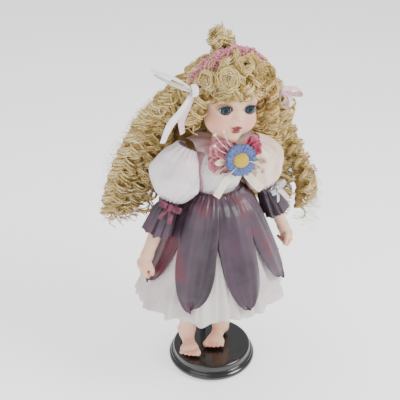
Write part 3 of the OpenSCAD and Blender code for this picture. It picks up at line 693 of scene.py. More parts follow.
def eyes():
    for name, side in SIDES.items():
        gaze = np.array([-0.06, -1.0, -0.05])
        gaze /= np.linalg.norm(gaze)
        across = np.cross(gaze, (0, 0, 1))
        across /= np.linalg.norm(across)
        up = np.cross(across, gaze)
        a = np.linspace(0, math.pi, 41)[:, None, None]
        b = np.linspace(0, 2 * math.pi, 49)[None, :, None]
        cornea = 1 + 0.05 * np.exp(-(a / 0.42) ** 4)
        spun = np.cos(b) * across + np.sin(b) * up
        grid = EYE * (side, 1, 1) + EYE_R * cornea * (np.cos(a) * gaze + np.sin(a) * spun)
        shape = weave(grid)
        item = make(f"glass_eye_{name}",
                    (shape[0], shape[1][:, ::-1], shape[2].reshape(-1, 4, 2)[:, ::-1].reshape(-1, 2)),
                    "doll", EYE_GLASS, HEAD, replaces=[f"eye_{name}"])
        seal(item)


def spike(start, bend, r, steps=5):
    """A fine hair that tapers to a point: points from start along start + bend(t)."""
    t = np.linspace(0, 1, steps)
    middle = np.array([start + bend(x) for x in t])
    a = np.arange(3) * 2 * math.pi / 3
    ring = np.stack([np.cos(a), np.zeros(3), np.sin(a)], axis=1)
    grid = middle[:, None] + ring[None] * (r * (1 - 0.95 * t))[:, None, None]
    return weave(grid, loop=True)


def lashes():
    """Thick upper lashes set along each lid, and a few fine lower ones."""
    parts = []
    for side in (RIGHT, LEFT):
        for k, u in enumerate(np.linspace(-0.93, 0.98, 30)):
            x = u * 7.0
            z = math.sqrt(LENS_R ** 2 - x ** 2) - LENS_UP
            y = -math.sqrt(max(LID_R ** 2 - x ** 2 - z ** 2, 1)) - 0.1
            root = EYE * (side, 1, 1) + (side * x, y, z)
            grow = (3.9 + 1.5 * u) * (0.85 + 0.3 * ((k * 7) % 5) / 5)
            lean = np.array([side * (0.25 + 0.75 * u), -1.0, 0.0])
            parts.append(spike(root, lambda t, g=grow, l=lean: l * g * 0.62 * math.sin(1.3 * t)
                               + np.array([0, 0, g * 0.75 * t * t]), 0.42))
        for k, u in enumerate(np.linspace(-0.8, 0.95, 14)):
            x = u * 6.8
            z = LENS_UP - math.sqrt(LENS_R ** 2 - x ** 2)
            y = -math.sqrt(max(LID_R ** 2 - x ** 2 - z ** 2, 1)) - 0.05
            root = EYE * (side, 1, 1) + (side * x, y, z)
            lean = np.array([side * 0.5 * u, -0.12, -1.0])
            parts.append(spike(root, lambda t, l=lean: l * 1.9 * t, 0.2, 3))
    make("lash_rows", joined(parts), "doll", LASH, HEAD, replaces=["eyelashes"])


FOREARM_TOP = 75.4       # where the bisque forearm begins, down the arm from the shoulder
SOLE = 21.6              # depth of the sole under the ankle


def forearm_form(side):
    inward = -side

    def form(p):
        arm = limb(p, (0, 0, -FOREARM_TOP), (0, 0, -122), 8.8, 6.4)
        palm = blend(limb(p, (0, -5.5, -133), (0, 4.5, -133), 5.6, 5.8),
                     limb(p, (0, -1, -122), (0, -1, -133), 6.2, 7.0), 4)
        hand = blend(arm, palm, 5)
        for k in range(4):
            y = -8.0 + 4.7 * k
            r = 2.9 - 0.18 * k
            knuckle, middle = (0, y, -139), (inward * 6.6, y * 0.94, -143.6)
            tip = (inward * 9.0, y * 0.88, -136.5)
            finger = np.minimum(limb(p, knuckle, middle, r, r * 0.92),
                                limb(p, middle, tip, r * 0.92, r * 0.82))
            hand = blend(hand, finger, 1.3)
        thumb = np.minimum(limb(p, (inward * 2, -8.6, -128), (inward * 6.5, -11.2, -133.5), 3.3, 2.9),
                           limb(p, (inward * 6.5, -11.2, -133.5), (inward * 9.6, -10.2, -138.5), 2.9, 2.3))
        hand = blend(hand, thumb, 2.0)
        return np.maximum(hand, p[..., 2] + FOREARM_TOP)
    return form


def foot_form(i):
    """Shin, calf and bare foot about the ankle, toes towards -Y."""
    inner = 1 if i == 0 else -1          # the big toe is on the side of the other leg

    def form(p):
        foot = blend(ball(p, (0, 0, 0), 9.2), ball(p, (0, 7.6, -12.8), 9.0), 6)
        foot = blend(foot, limb(p, (0, -2, -8), (inner * 1.5, -17, -15), 8.6, 6.6), 5)
        foot = blend(foot, limb(p, (-5.5, -18, -16.6), (5.5, -18, -16.4), 5.6, 6.0), 5)
        for k in range(5):
            x = inner * (9.2 - 4.75 * k)
            r = (4.2, 3.1, 3.0, 2.8, 2.5)[k]
            reach = (-28.6, -28.4, -27.2, -25.4, -23.0)[k]
            toe = limb(p, (x * 0.85, -19, -16.8), (x, reach + r * 0.4, -18.3 + 0.2 * r), r * 0.95, r)
            foot = blend(foot, toe, 1.1)
            foot = carve(foot, egg(p, (x, reach - r * 0.5, -14.8 + 0.2 * r), (r * 0.5, 0.9, r * 0.34)), 0.5)
        for side in (-1, 1):
            foot = blend(foot, ball(p, (side * 8.4, 1.2, 0.4), 2.4), 3)
        return np.maximum(foot, -SOLE - p[..., 2])
    return form


HIPS = [np.array([-19.0, -1, 200]), np.array([11.0, -1, 200])]
ANKLES = [np.array([-30.0, 9, 43.6]), np.array([14.0, 4, 43.6])]
FOOT_TURNS = [-16, -45]
KNEE = 84.0


def limbs():
    for name, side in SIDES.items():
        points, faces = skin(forearm_form(side), (-17, -17, -149), (17, 13, -74), 0.62)
        inward = -side
        patches = [((inward * 7, -5, -146), (8, 14, 6), "#e2957b", 0.6, 0.8),
                   ((inward * 9, -11, -139), (4, 4, 4), "#e09076", 0.6, 0.8),
                   ((0, 0, -133), (9, 12, 6), "#e6a58c", 0.35, 0.9)]
        make(f"{name}_bisque_forearm", (points, faces), f"{name}_arm", BISQUE, ARM[side],
             replaces=[f"{name}_forearm"], tint=stain(BISQUE_SKIN, points, patches))
    for i, name in enumerate(("right", "left")):
        down = HIPS[i] - ANKLES[i]
        length = np.linalg.norm(down)
        down = turn("z", -FOOT_TURNS[i])[:3, :3] @ (down / length)
        foot = foot_form(i)

        def leg(p, down=down, length=length, foot=foot):
            calf = blend(limb(p, down * 0, down * (length - 112), 9.3, 11.6),
                         limb(p, down * (length - 112), down * (length - KNEE - 3), 11.6, 10.6), 4)
            calf = blend(calf, ball(p, down * (length - 116) + (0, 2.2, 0), 10.4), 5)
            form = blend(calf, foot(p), 6)
            return np.maximum(form, (p @ down) - (length - KNEE - 0.4))
        low, high = (-26, -34, -23), (26, 26, 78)
        points, faces = skin(leg, low, high, 0.68)
        inner = 1 if i == 0 else -1
        patches = [((inner * 2, -12, -7), (9, 10, 7), "#e2957b", 0.5, 0.9),
                   ((0, -27, -18), (12, 5, 5), "#dd8468", 0.65, 0.7),
                   (down * (length - 90) + (0, -10, 0), (10, 8, 12), "#e6a58c", 0.5, 0.9),
                   ((0, 14, -14), (9, 7, 9), "#e39a80", 0.5, 0.9)]
        place = shift(*ANKLES[i]) @ turn("z", FOOT_TURNS[i])
        make(f"{name}_bisque_leg", (points, faces), f"{name}_leg", BISQUE, place,
             replaces=[f"{name}_lower_leg"], tint=stain(BISQUE_SKIN, points, patches))


# ---------- Stuffed muslin ----------

TORSO_SEAT = 212.4       # height of the torso's flat underside, where the thighs begin


def stuffed():
    """The sewn body under the clothes, its surface dented a little by the stuffing."""
    def soft(form, seed):
        return lambda p: form(p) + 0.35 * ripple(p, 14, seed)

    def torso_form(p):
        return blend(limb(p, (-9, 0, -24), (9, 0, -24), 15.4, 15.4),
                     limb(p, (-8, -1, 6), (8, -1, 6), 12.6, 12.6), 6)
    points, faces = skin(soft(torso_form, 3), (-28, -20, -42), (28, 20, 24), 1.5)
    world = put(BODY, points)
    world[:, 2] = np.maximum(world[:, 2], TORSO_SEAT)
    item = make("muslin_torso", (world, faces), "doll", MUSLIN, replaces=["torso"])
    for name, side in SIDES.items():
        points, faces = skin(soft(lambda p: limb(p, (0, 0, -2), (0, 0, -70), 7.6, 7.2), 5), (-12, -12, -80),
                             (12, 12, 9), 1.3)
        local = put(np.linalg.inv(BODY) @ ARM[side], points)
        local[:, 0] = side * np.maximum(side * local[:, 0], SIDE_PLANE + 0.5)
        item = make(f"{name}_muslin_arm", (local, faces), f"{name}_arm", MUSLIN, BODY,
                    replaces=[f"{name}_upper_arm"])
    for i, name in enumerate(("right", "left")):
        along = (ANKLES[i] - HIPS[i]) / np.linalg.norm(ANKLES[i] - HIPS[i])
        points, faces = skin(soft(lambda p: limb(p, along * 0, along * (KNEE - 11), 11.1, 10.4), 7),
                             (-20, -14, -90), (20, 18, 14), 1.5)
        item = make(f"{name}_muslin_thigh", (points, faces), f"{name}_leg", MUSLIN, shift(*HIPS[i]),
                    replaces=[f"{name}_thigh"])


# ---------- Mohair ----------

def new_tree(name, inputs, output):
    """A Geometry Nodes tree with its (name, kind, value) inputs, and their sockets."""
    tree = bpy.data.node_groups.new(name, "GeometryNodeTree")
    for label, kind, value in inputs:
        socket = tree.interface.new_socket(name=label, in_out="INPUT", socket_type=f"NodeSocket{kind}")
        if value is not None:
            socket.default_value = value
    tree.interface.new_socket(name=output, in_out="OUTPUT", socket_type="NodeSocketGeometry")
    return tree, add(tree, "NodeGroupInput").outputs


def end_tree(tree, geometry, material):
    """Makes the instances real, sets the material and puts the result out."""
    real = add(tree, "GeometryNodeRealizeInstances", {"Geometry": geometry}).outputs[0]
    done = add(tree, "GeometryNodeSetMaterial", {"Geometry": real, "Material": material}).outputs[0]
    add(tree, "NodeGroupOutput", {0: done})
    return tree


def ringlet_tree():
    """Turns guide lines into ringlets: strands that run together and coil about each guide.

    Each point of a guide holds its coil's radius and how far the coil has wound, in radians.
    """
    inputs = [("Guides", "Geometry", None), ("Strands", "Int", 10), ("Strand radius", "Float", 0.00036),
              ("Step", "Float", 0.0016), ("Ribbon width", "Float", 0.006), ("Looseness", "Float", 0.0018),
              ("Frizz", "Float", 0.0012), ("Seed", "Int", 1), ("Finish", "Material", None)]
    tree, given = new_tree("ringlets", inputs, "Hair")

    def attribute(name):
        return add(tree, "GeometryNodeInputNamedAttribute", {"Name": name},
                   data_type="FLOAT").outputs["Attribute"]

    def chance(shift, low, high):
        seed = add(tree, "ShaderNodeMath", {0: given["Seed"], 1: float(shift)}, operation="ADD").outputs[0]
        return add(tree, "FunctionNodeRandomValue", {2: low, 3: high, "Seed": seed},
                   data_type="FLOAT").outputs[1]

    def math_of(kind, a, b=0.0):
        return add(tree, "ShaderNodeMath", {0: a, 1: b}, operation=kind).outputs[0]

    def scaled(vector, amount):
        return add(tree, "ShaderNodeVectorMath", {0: vector, "Scale": amount}, operation="SCALE").outputs[0]

    def summed(a, b):
        return add(tree, "ShaderNodeVectorMath", {0: a, 1: b}, operation="ADD").outputs[0]

    lines = add(tree, "GeometryNodeMeshToCurve", {0: given["Guides"]}).outputs[0]
    copies = add(tree, "GeometryNodeDuplicateElements", {"Geometry": lines, "Amount": given["Strands"]},
                 domain="SPLINE")
    hair = copies.outputs["Geometry"]
    for name, shift, low, high in (("tone", 1, 0.0, 1.0), ("across", 2, -0.5, 0.5), ("swell", 3, 0.82, 1.16),
                                   ("side_x", 4, -1.0, 1.0), ("side_y", 5, -1.0, 1.0), ("end", 6, 0.88, 1.0)):
        hair = add(tree, "GeometryNodeStoreNamedAttribute",
                   {"Geometry": hair, "Name": name, "Value": chance(shift, low, high)}, data_type="FLOAT",
                   domain="CURVE").outputs[0]
    trimmed = add(tree, "GeometryNodeTrimCurve", {"Curve": hair, 3: attribute("end")},
                  mode="FACTOR").outputs[0]
    fine = add(tree, "GeometryNodeResampleCurve", {"Curve": trimmed, "Length": given["Step"]},
               mode="LENGTH").outputs[0]
    normal = add(tree, "GeometryNodeInputNormal").outputs[0]
    tangent = add(tree, "GeometryNodeInputTangent").outputs[0]
    beside = add(tree, "ShaderNodeVectorMath", {0: tangent, 1: normal}, operation="CROSS_PRODUCT").outputs[0]
    coil = math_of("MULTIPLY", attribute("coil"), attribute("swell"))
    angle = math_of("ADD", attribute("wind"), math_of("MULTIPLY", attribute("across"), 0.35))
    out = summed(scaled(normal, math_of("COSINE", angle)), scaled(beside, math_of("SINE", angle)))
    curled = math_of("MINIMUM", math_of("MULTIPLY", attribute("coil"), 300.0), 1.0)
    along = math_of("MULTIPLY", math_of("MULTIPLY", attribute("across"), given["Ribbon width"]), curled)
    loose = math_of("MULTIPLY", given["Looseness"], math_of("SUBTRACT", 1.25, curled))
    place = summed(scaled(out, coil), scaled(tangent, along))
    for name, direction in (("side_x", normal), ("side_y", beside)):
        place = summed(place, scaled(direction, math_of("MULTIPLY", loose, attribute(name))))
    where = summed(add(tree, "GeometryNodeInputPosition").outputs[0],
                   scaled(add(tree, "ShaderNodeCombineXYZ",
                              {0: attribute("tone"), 1: attribute("across")}).outputs[0], 0.05))
    wave = add(tree, "ShaderNodeTexNoise", {"Vector": where, "Scale": 120.0, "Detail": 1.0}).outputs["Color"]
    centred = add(tree, "ShaderNodeVectorMath", {0: wave, 1: (0.5, 0.5, 0.5)},
                  operation="SUBTRACT").outputs[0]
    place = summed(place, scaled(centred, given["Frizz"]))
    moved = add(tree, "GeometryNodeSetPosition", {"Geometry": fine, "Offset": place}).outputs[0]
    share = add(tree, "GeometryNodeSplineParameter").outputs["Factor"]
    taper = add(tree, "ShaderNodeMapRange",
                {"Value": share, "From Min": 0.8, "To Min": 1.0, "To Max": 0.25}).outputs[0]
    thick = add(tree, "GeometryNodeSetCurveRadius", {"Curve": moved, "Radius": taper}).outputs[0]
    section = add(tree, "GeometryNodeCurvePrimitiveCircle",
                  {"Resolution": 3, "Radius": given["Strand radius"]}).outputs[0]
    mesh = add(tree, "GeometryNodeCurveToMesh", {"Curve": thick, "Profile Curve": section}).outputs[0]
    smooth = add(tree, "GeometryNodeSetShadeSmooth", {"Geometry": mesh}).outputs[0]
    return end_tree(tree, smooth, given["Finish"])


def grown(name, source, tree, inputs, body, replaces=()):
    """The plain mesh that a node tree makes from a source mesh, as a piece."""
    carrier = bpy.data.objects.new(name + "_source", source)
    bpy.context.scene.collection.objects.link(carrier)
    live = carrier.modifiers.new("tree", "NODES")
    live.node_group = tree
    for item in tree.interface.items_tree:
        if item.item_type == "SOCKET" and item.in_out == "INPUT" and item.name in inputs:
            live[item.identifier] = inputs[item.name]
    bpy.context.view_layer.update()
    result = carrier.evaluated_get(bpy.context.evaluated_depsgraph_get())
    mesh = bpy.data.meshes.new_from_object(result)
    mesh.name = name
    bpy.data.objects.remove(carrier)
    piece = bpy.data.objects.new(name, mesh)
    bpy.context.scene.collection.objects.link(piece)
    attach(piece, body)
    if replaces:
        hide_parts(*replaces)
    return piece


def lock(stations, coil, pitch, seed, start=0.22, count=40):
    """A guide for one ringlet: its points, its coil's radius and how far it has wound at each point."""
    rng = np.random.default_rng(seed)
    points = path(stations, count)
    step = np.linalg.norm(np.diff(points, axis=0), axis=1)
    length = np.concatenate([[0], np.cumsum(step)])
    t = length / length[-1]
    radius = coil * smooth_step(0.02, start, t) * (0.55 + 0.45 * t)
    tight = pitch * (1.15 - 0.3 * t)
    wind = rng.uniform(0, 2 * math.pi) + np.concatenate([[0], np.cumsum(step / tight[1:])]) * 2 * math.pi * (
        1 if rng.random() < 0.5 else -1)
    return points, radius, wind


def guide_mesh(name, locks, place):
    """Edges along the guides, with their coils as attributes, in metres."""
    points = np.vstack([put(place, l[0]) for l in locks]) * MM
    edges, first = [], 0
    for l in locks:
        n = len(l[0])
        edges += [(first + k, first + k + 1) for k in range(n - 1)]
        first += n
    mesh = bpy.data.meshes.new(name)
    mesh.from_pydata(points.tolist(), edges, [])
    for key, column in (("coil", 1), ("wind", 2)):
        values = np.concatenate([l[column] for l in locks]) * (MM if key == "coil" else 1)
        mesh.attributes.new(key, "FLOAT", "POINT").data.foreach_set("value", values.astype(np.float32))
    return mesh


def clump(name, locks, place, replaces=(), strands=9, width=7.0, loose=2.0, frizz=1.6, thick=0.42, seed=1,
          step=1.7):
    inputs = {"Strands": strands, "Strand radius": thick * MM, "Step": step * MM, "Ribbon width": width * MM,
              "Looseness": loose * MM, "Frizz": frizz * MM, "Seed": seed, "Finish": HAIR}
    return grown(name, guide_mesh(name, locks, place), RINGLETS, inputs, "doll", replaces)


RINGLETS = ringlet_tree()


def between(inner, outer, w):
    """Stations part way between two lines of stations."""
    return path(inner, 8) * (1 - w) + path(outer, 8) * w


# The hair at each side hangs between an inner and an outer line of (out, back, height).
SIDE_LINES = {
    RIGHT: ([(27, 6, 132), (35, 12, 110), (45, 28, 82), (54, 44, 40), (61, 52, 0), (70, 56, -48),
             (76, 54, -84)],
            [(27, 0, 140), (50, 6, 120), (70, 18, 88), (86, 36, 42), (101, 44, 0), (107, 45, -50),
             (101, 45, -90)]),
    LEFT: ([(27, 6, 132), (37, 14, 108), (50, 32, 78), (62, 46, 40), (70, 52, -4), (80, 54, -50),
            (90, 54, -92)],
           [(27, 0, 138), (60, 4, 114), (88, 18, 84), (112, 38, 42), (134, 34, 4), (151, 14, -32),
            (154, 8, -86), (142, 12, -118)]),
}


def shortened(stations, share):
    """The first share of a smooth line, as stations again."""
    fine = 60
    return path(stations, fine)[:int(fine * share)][::6]


def behind_arm(line, back):
    """Keeps a lock behind the swinging arm, up to where it hangs outside the arm."""
    low = line[:, 2] < 76
    line[low, 1] = np.maximum(line[low, 1], back - 3.4 * np.clip(line[low, 0] - 120, 0, 12))
    return line


def side_hair(side, name, count):
    inner, outer = SIDE_LINES[side]
    rng = np.random.default_rng(20 + side)
    locks = []
    for k in range(count):
        w = -0.32 + 1.32 * (k + 0.5) / count
        depth = rng.uniform(-1, 1)
        stations = between(inner, outer, w)
        t = np.linspace(0, 1, len(stations))
        stations[:, 1] += depth * 13 * np.minimum(t * 3, 1) + 2
        stations[:, 0] += rng.normal(0, 2.2, len(stations)) * t
        stations[:, 2] += rng.normal(0, 3.0, len(stations)) * t
        reach = rng.uniform(0.72, 1.0) if depth > -0.2 else rng.uniform(0.55, 1.0)
        line = shortened(stations, reach)
        line = behind_arm(line, ARM_ROOM)
        line[:, 0] = side * line[:, 0]
        locks.append(lock(line, rng.uniform(5.4, 8.2), rng.uniform(17, 24), 1000 * (side + 2) + k,
                          start=0.06, count=60))
    half = len(locks) // 2
    for part, some, replaced in (("inner", locks[:half], [f"wig_{name}"]), ("outer", locks[half:], [])):
        clump(f"{name}_ringlets_{part}", some, BODY, replaces=replaced, strands=10, width=8.5, thick=0.5,
              step=2.5, loose=2.6, seed=5 + side + len(part))
    fuzz = []
    for k in range(26):
        stations = between(inner, outer, rng.uniform(0.2, 1.05))
        t = np.linspace(0, 1, len(stations))
        stations[:, 1] += rng.uniform(-1, 1) * 15 * np.minimum(t * 2, 1) + 3
        stations[:, 0] += rng.normal(2, 4.0, len(stations)) * t
        line = shortened(stations, rng.uniform(0.5, 1.0))
        line = behind_arm(line, ARM_ROOM + 2.5)
        line[:, 0] = side * line[:, 0]
        fuzz.append(lock(line, rng.uniform(6, 10), rng.uniform(12, 20), 5000 * (side + 2) + k, count=46))
    clump(f"{name}_stray_hairs", fuzz, BODY, strands=2, width=12, loose=6, frizz=5, thick=0.13,
          seed=25 + side)


def back_hair():
    rng = np.random.default_rng(7)
    locks = []
    for k in range(44):
        x = -33 + 66 * ((k * GOLDEN) % 1)
        deep = rng.uniform(0, 1)
        stations = np.array([(x * 0.5, 24 + 6 * deep, 134), (x * 0.75, 36 + 6 * deep, 108),
                             (x * 0.9, 46 + 8 * deep, 70), (x, 52 + 10 * deep, 20), (x, 60 + 10 * deep, -30),
                             (x * 0.95, 62 + 10 * deep, -70)])
        stations[:, 0] += rng.normal(0, 2, 6)
        line = shortened(stations, rng.uniform(0.75, 1))
        locks.append(lock(line, rng.uniform(5.0, 7.4), rng.uniform(17, 23), 300 + k, start=0.15, count=56))
    for part, some, replaced in (("over", locks[:22], ["wig_back"]), ("under", locks[22:], [])):
        clump(f"back_ringlets_{part}", some, BODY, replaces=replaced, strands=10, width=8.5, thick=0.5,
              step=2.5, loose=2.6, seed=31 + len(part))


def dome(azimuth, height, r):
    """A point over the skull; azimuth 0 is the doll's left and -90 its face, and height is in degrees."""
    a, b = math.radians(azimuth), math.radians(height)
    return SKULL + r * np.array([math.cos(a) * math.cos(b), math.sin(a) * math.cos(b), math.sin(b)])


def crown_hair():
    """Locks combed from the crown over the skull, under the wreath."""
    rng = np.random.default_rng(11)
    locks = []
    for k in range(54):
        azimuth = k * 360 / 54 + rng.uniform(-3, 3)
        front = -140 < ((azimuth + 180) % 360 - 180) < -40
        low = 34 if front else 4
        stations = [dome(azimuth + rng.uniform(-8, 8), h, 36.2 + rng.uniform(0, 2.6))
                    for h in np.linspace(84, low, 7)]
        locks.append(lock(stations, rng.uniform(0.9, 2.2), rng.uniform(10, 15), 500 + k, start=0.5, count=26))
    clump("crown_hair", locks, BODY, replaces=["wig_crown"], strands=13, width=3, loose=3.4, frizz=2.4,
          seed=41, step=1.9)
    mantle = []
    for k in range(44):
        azimuth = -28 + 236 * ((k * GOLDEN) % 1)
        start = rng.uniform(48, 76)
        stations = [dome(azimuth, start, 37.5), dome(azimuth, start * 0.6, 41),
                    dome(azimuth, start * 0.2, 45), dome(azimuth, -8, 49) + (0, 0, -6),
                    dome(azimuth, -16, 53) + (0, 0, -16)]
        stations[-1][2] = max(stations[-1][2], 78)
        mantle.append(lock(stations, rng.uniform(4.6, 7.0), rng.uniform(15, 21), 2500 + k, start=0.25,
                           count=40))
    clump("mantle_ringlets", mantle, BODY, strands=11, width=8, loose=2.6, frizz=2.0, thick=0.48, seed=43,
          step=2.3)
    tuft = []
    for k in range(16):
        a = k * 2 * math.pi * GOLDEN
        r = 12 * math.sqrt((k + 0.5) / 16)
        foot = SKULL + (-6 + r * math.cos(a), 14 + r * math.sin(a), 33)
        top = SKULL + (-14 + 0.55 * r * math.cos(a), 17 + 0.5 * r * math.sin(a), 68 - 1.7 * r)
        bend = SKULL + (-8 + 1.2 * r * math.cos(a), 16 + r * math.sin(a), 52)
        tuft.append(lock([foot, bend, top], rng.uniform(4.4, 6.4), rng.uniform(10, 15), 600 + k, start=0.3,
                         count=26))
    clump("top_curl", tuft, BODY, strands=8, width=6, loose=2.4, frizz=3, seed=42)


def rolled(centre, axis, first, r, turns, depth, seed, lead):
    """A barrel curl: hair that comes from its lead points and rolls inwards about an axis."""
    axis = np.asarray(axis, float) / np.linalg.norm(axis)
    u = np.cross(axis, (0.0, 0.0, 1.0))
    u /= np.linalg.norm(u)
    v = np.cross(axis, u)
    locks = []
    rng = np.random.default_rng(seed)
    for k, d in enumerate(np.linspace(-1, 1, 7)):
        a = math.radians(first) + np.linspace(0, turns * 2 * math.pi, 22)
        size = r * (1.06 - 0.42 * np.linspace(0, 1, 22)) * rng.uniform(0.92, 1.1)
        spun = np.cos(a)[:, None] * u + np.sin(a)[:, None] * v
        ring = np.asarray(centre) + axis * depth * d + size[:, None] * spun
        start = [np.asarray(p, float) + axis * depth * 0.8 * d + rng.normal(0, 0.8, 3) for p in lead]
        locks.append(lock(start + list(ring[::3]), 0.7, 9, seed * 10 + k, start=0.3, count=46))
    return locks


def fringe():
    """Barrel curls over the forehead and locks that sweep across it."""
    o = SKULL
    curls = []
    for centre, axis, first, r, turns, depth, seed, lead in (
            ((-21, -30, 27), (-0.35, -0.85, 0.38), 100, 8.6, 1.5, 4.5, 71, ((-10, -10, 39), (-20, -18, 36))),
            ((19, -29, 29), (0.05, -0.9, 0.42), 80, 9.4, 1.6, 4.5, 72, ((6, -8, 40), (12, -16, 39))),
            ((-2, -25, 38), (-0.2, -0.8, 0.55), 60, 7.2, 1.3, 5.0, 73, ((-4, -4, 42), (-6, -12, 43))),
            ((33, -14, 20), (0.7, -0.6, 0.3), 60, 7.0, 1.3, 5.0, 74, ((20, -2, 36), (28, -8, 30))),
            ((-33, -14, 20), (-0.8, -0.5, 0.3), 120, 7.0, 1.3, 5.0, 75, ((-20, -2, 36), (-28, -8, 30)))):
        curls += rolled(o + centre, axis, first, r, turns, depth, seed, [o + p for p in lead])
    clump("barrel_curls", curls, BODY, replaces=["wig_fringe"], strands=15, width=3, loose=3.0, frizz=3.4,
          thick=0.36, seed=51, step=1.8)
    wild = []
    rng = np.random.default_rng(17)
    for k in range(22):
        u = ((k * GOLDEN) % 1)
        x = -27 + 52 * u
        drop = rng.uniform(8, 22) if 0.35 < u < 0.75 else rng.uniform(2, 14)
        stations = [o + (0.5 * x, -14, 38.5), o + (0.9 * x, -28 + 0.008 * x * x, 33),
                    o + (x, -37.5 + 0.012 * x * x, 24),
                    o + (1.04 * x + rng.normal(0, 2), -39.5 + 0.014 * x * x, 24 - drop)]
        wild.append(lock(stations, rng.uniform(3.6, 5.6), rng.uniform(12, 17), 2700 + k, start=0.3, count=36))
    clump("forehead_ringlets", wild, BODY, strands=11, width=6, loose=2.2, frizz=2.2, thick=0.4, seed=54,
          step=2.0)
    sweep = []
    rng = np.random.default_rng(13)
    for k in range(26):
        u = k / 25
        top = o + (14 - 26 * u, -22 - 3 * math.sin(3 * u), 33 + 2 * math.sin(5 * u))
        middle = o + (8 - 22 * u, -35.5, 19 - 4 * u)
        if k % 2:
            tip = o + (3 - 12 * u + rng.normal(0, 1.5), -36.2 + 2.5 * u, 7.5 - 1.0 * u)
            end = o + (9 - 14 * u, -35.6 + 2.0 * u, 6.0 + 2.5 * u)
        else:
            tip = o + (-10 - 18 * u + rng.normal(0, 1.5), -35.5 + 7 * u, 11 - 5 * u)
            end = o + (-18 - 16 * u, -33 + 11 * u, 6 - 6 * u)
        sweep.append(lock([top, middle, tip, end], rng.uniform(0.6, 1.6), rng.uniform(9, 13), 800 + k,
                          start=0.6, count=30))
    clump("swept_fringe", sweep, BODY, strands=13, width=3, loose=2.4, frizz=1.6, thick=0.38, seed=52,
          step=1.8)
    frame_locks = []
    for side, count in ((RIGHT, 18), (LEFT, 14)):
        for k in range(count):
            u = k / (count - 1)
            stations = [o + (side * 24, -20 + 10 * u, 26), o + (side * (31 + 3 * u), -17 + 12 * u, 8),
                        o + (side * (36 + 9 * u), -12 + 18 * u, -14),
                        o + (side * (41 + 16 * u), -6 + 22 * u, -33)]
            if side == LEFT:
                stations = [p + (0, 7, 0) for p in stations]
            frame_locks.append(lock(stations, rng.uniform(4.0, 6.6), rng.uniform(14, 20), 900 + 50 * side + k,
                                    start=0.3, count=40))
    clump("temple_ringlets", frame_locks, BODY, strands=10, width=6, loose=2.2, frizz=1.8, seed=53)


def hair_cores():
    """The dense hair under the ringlets, so that no scalp or gap shows through."""
    def crown(p):
        shell = np.maximum(ball(p, SKULL, 36.6), -ball(p, SKULL, 33.4))
        front = p @ np.array([0.0, -0.86, -0.5]) - (SKULL @ np.array([0.0, -0.86, -0.5])) - 7
        return np.maximum(shell, front) + 0.5 * ripple(p, 9, 4)
    points, faces = skin(crown, (-40, -44, 70), (40, 38, 152), 1.5)
    make("crown_weft", (points, faces), "doll", UNDER_HAIR, BODY)

    for name, side in SIDES.items():
        inner, outer = SIDE_LINES[side]

        def mass(p, inner=inner, outer=outer, side=side):
            q = p * np.array([side, 1, 1])
            total = None
            for w, r in ((-0.2, (3, 6, 8, 8, 5)), (0.15, (5, 8, 9, 9, 5)), (0.5, (4, 8.5, 10.5, 9.5, 6)),
                         (0.8, (3, 6.5, 8, 8, 5))):
                line = path(path(between(inner, outer, w), 40)[:33], 8) + (0, 5, 0)
                part = chain(q,
                             [(*s, k) for s, k in zip(line, np.interp(range(8), (0, 1.5, 3.5, 5.5, 7), r))])
                total = part if total is None else blend(total, part, 9)
            total = total + 2.4 * ripple(p, 13, 8 + side)
            near = np.minimum(36.0 - p[..., 1], 128.0 - q[..., 0])
            total = np.maximum(total, np.where(p[..., 2] < 74, near, -99))
            total = np.maximum(total, 34.6 - ball(p, SKULL, 0))
            return total
        low = (-130, -12, -104) if side == RIGHT else (20, -12, -130)
        high = (-20, 84, 150) if side == RIGHT else (172, 84, 150)
        points, faces = skin(mass, low, high, 2.2)
        make(f"{name}_weft", (points, faces), "doll", UNDER_HAIR, BODY)

    def back(p):
        total = None
        for x in (-24, -8, 8, 24):
            part = chain(p, [(x * 0.6, 22, 122, 8), (x * 0.9, 37, 84, 10.5), (x, 53, 30, 10.5),
                             (x, 63, -48, 7)])
            total = part if total is None else blend(total, part, 8)
        total = total + 1.6 * ripple(p, 12, 9)
        return np.maximum(total, 34.6 - ball(p, SKULL, 0))
    points, faces = skin(back, (-42, 5, -72), (42, 82, 140), 2.2)
    make("back_weft", (points, faces), "doll", UNDER_HAIR, BODY)


def wig():
    hair_cores()
    side_hair(RIGHT, "right", 60)
    side_hair(LEFT, "left", 64)
    back_hair()
    crown_hair()
    fringe()


# ---------- Cloth ----------

def sheet(width, length, area=1.0):
    """Works out a cut of cloth's flat size from mm, and area, its share of that rectangle; the results are
    not kept.

    A ribbon narrower than 10 mm is declared as its share of a 10 mm one.
    """
    area *= min(width / 10, 1)
    width, length = max(width, 10) * MM, max(length, 10) * MM


def rounded(angle, rx, ry):
    """A point of a superellipse; the angle is in radians, and -90 degrees is the front."""
    power = 2.4
    c, s = np.cos(angle), np.sin(angle)
    return (rx * np.sign(c) * np.abs(c) ** (2 / power), ry * np.sign(s) * np.abs(s) ** (2 / power))


# the bodice's outline: height, half width, half depth and middle in Y
BODICE_ROWS = np.array([(-4.0, 25.2, 19.6, -1.0), (1.4, 26.0, 19.4, -1.0), (8, 27.0, 19.8, -1.5),
                        (16, 29.5, 20.6, -2.0), (24, 33.0, 20.4, -2.0), (32, 33.6, 18.6, -2.0),
                        (38, 31.0, 16.0, -1.5), (43, 27.0, 14.2, -1.0), (46, 22.0, 13.4, -1.0)])


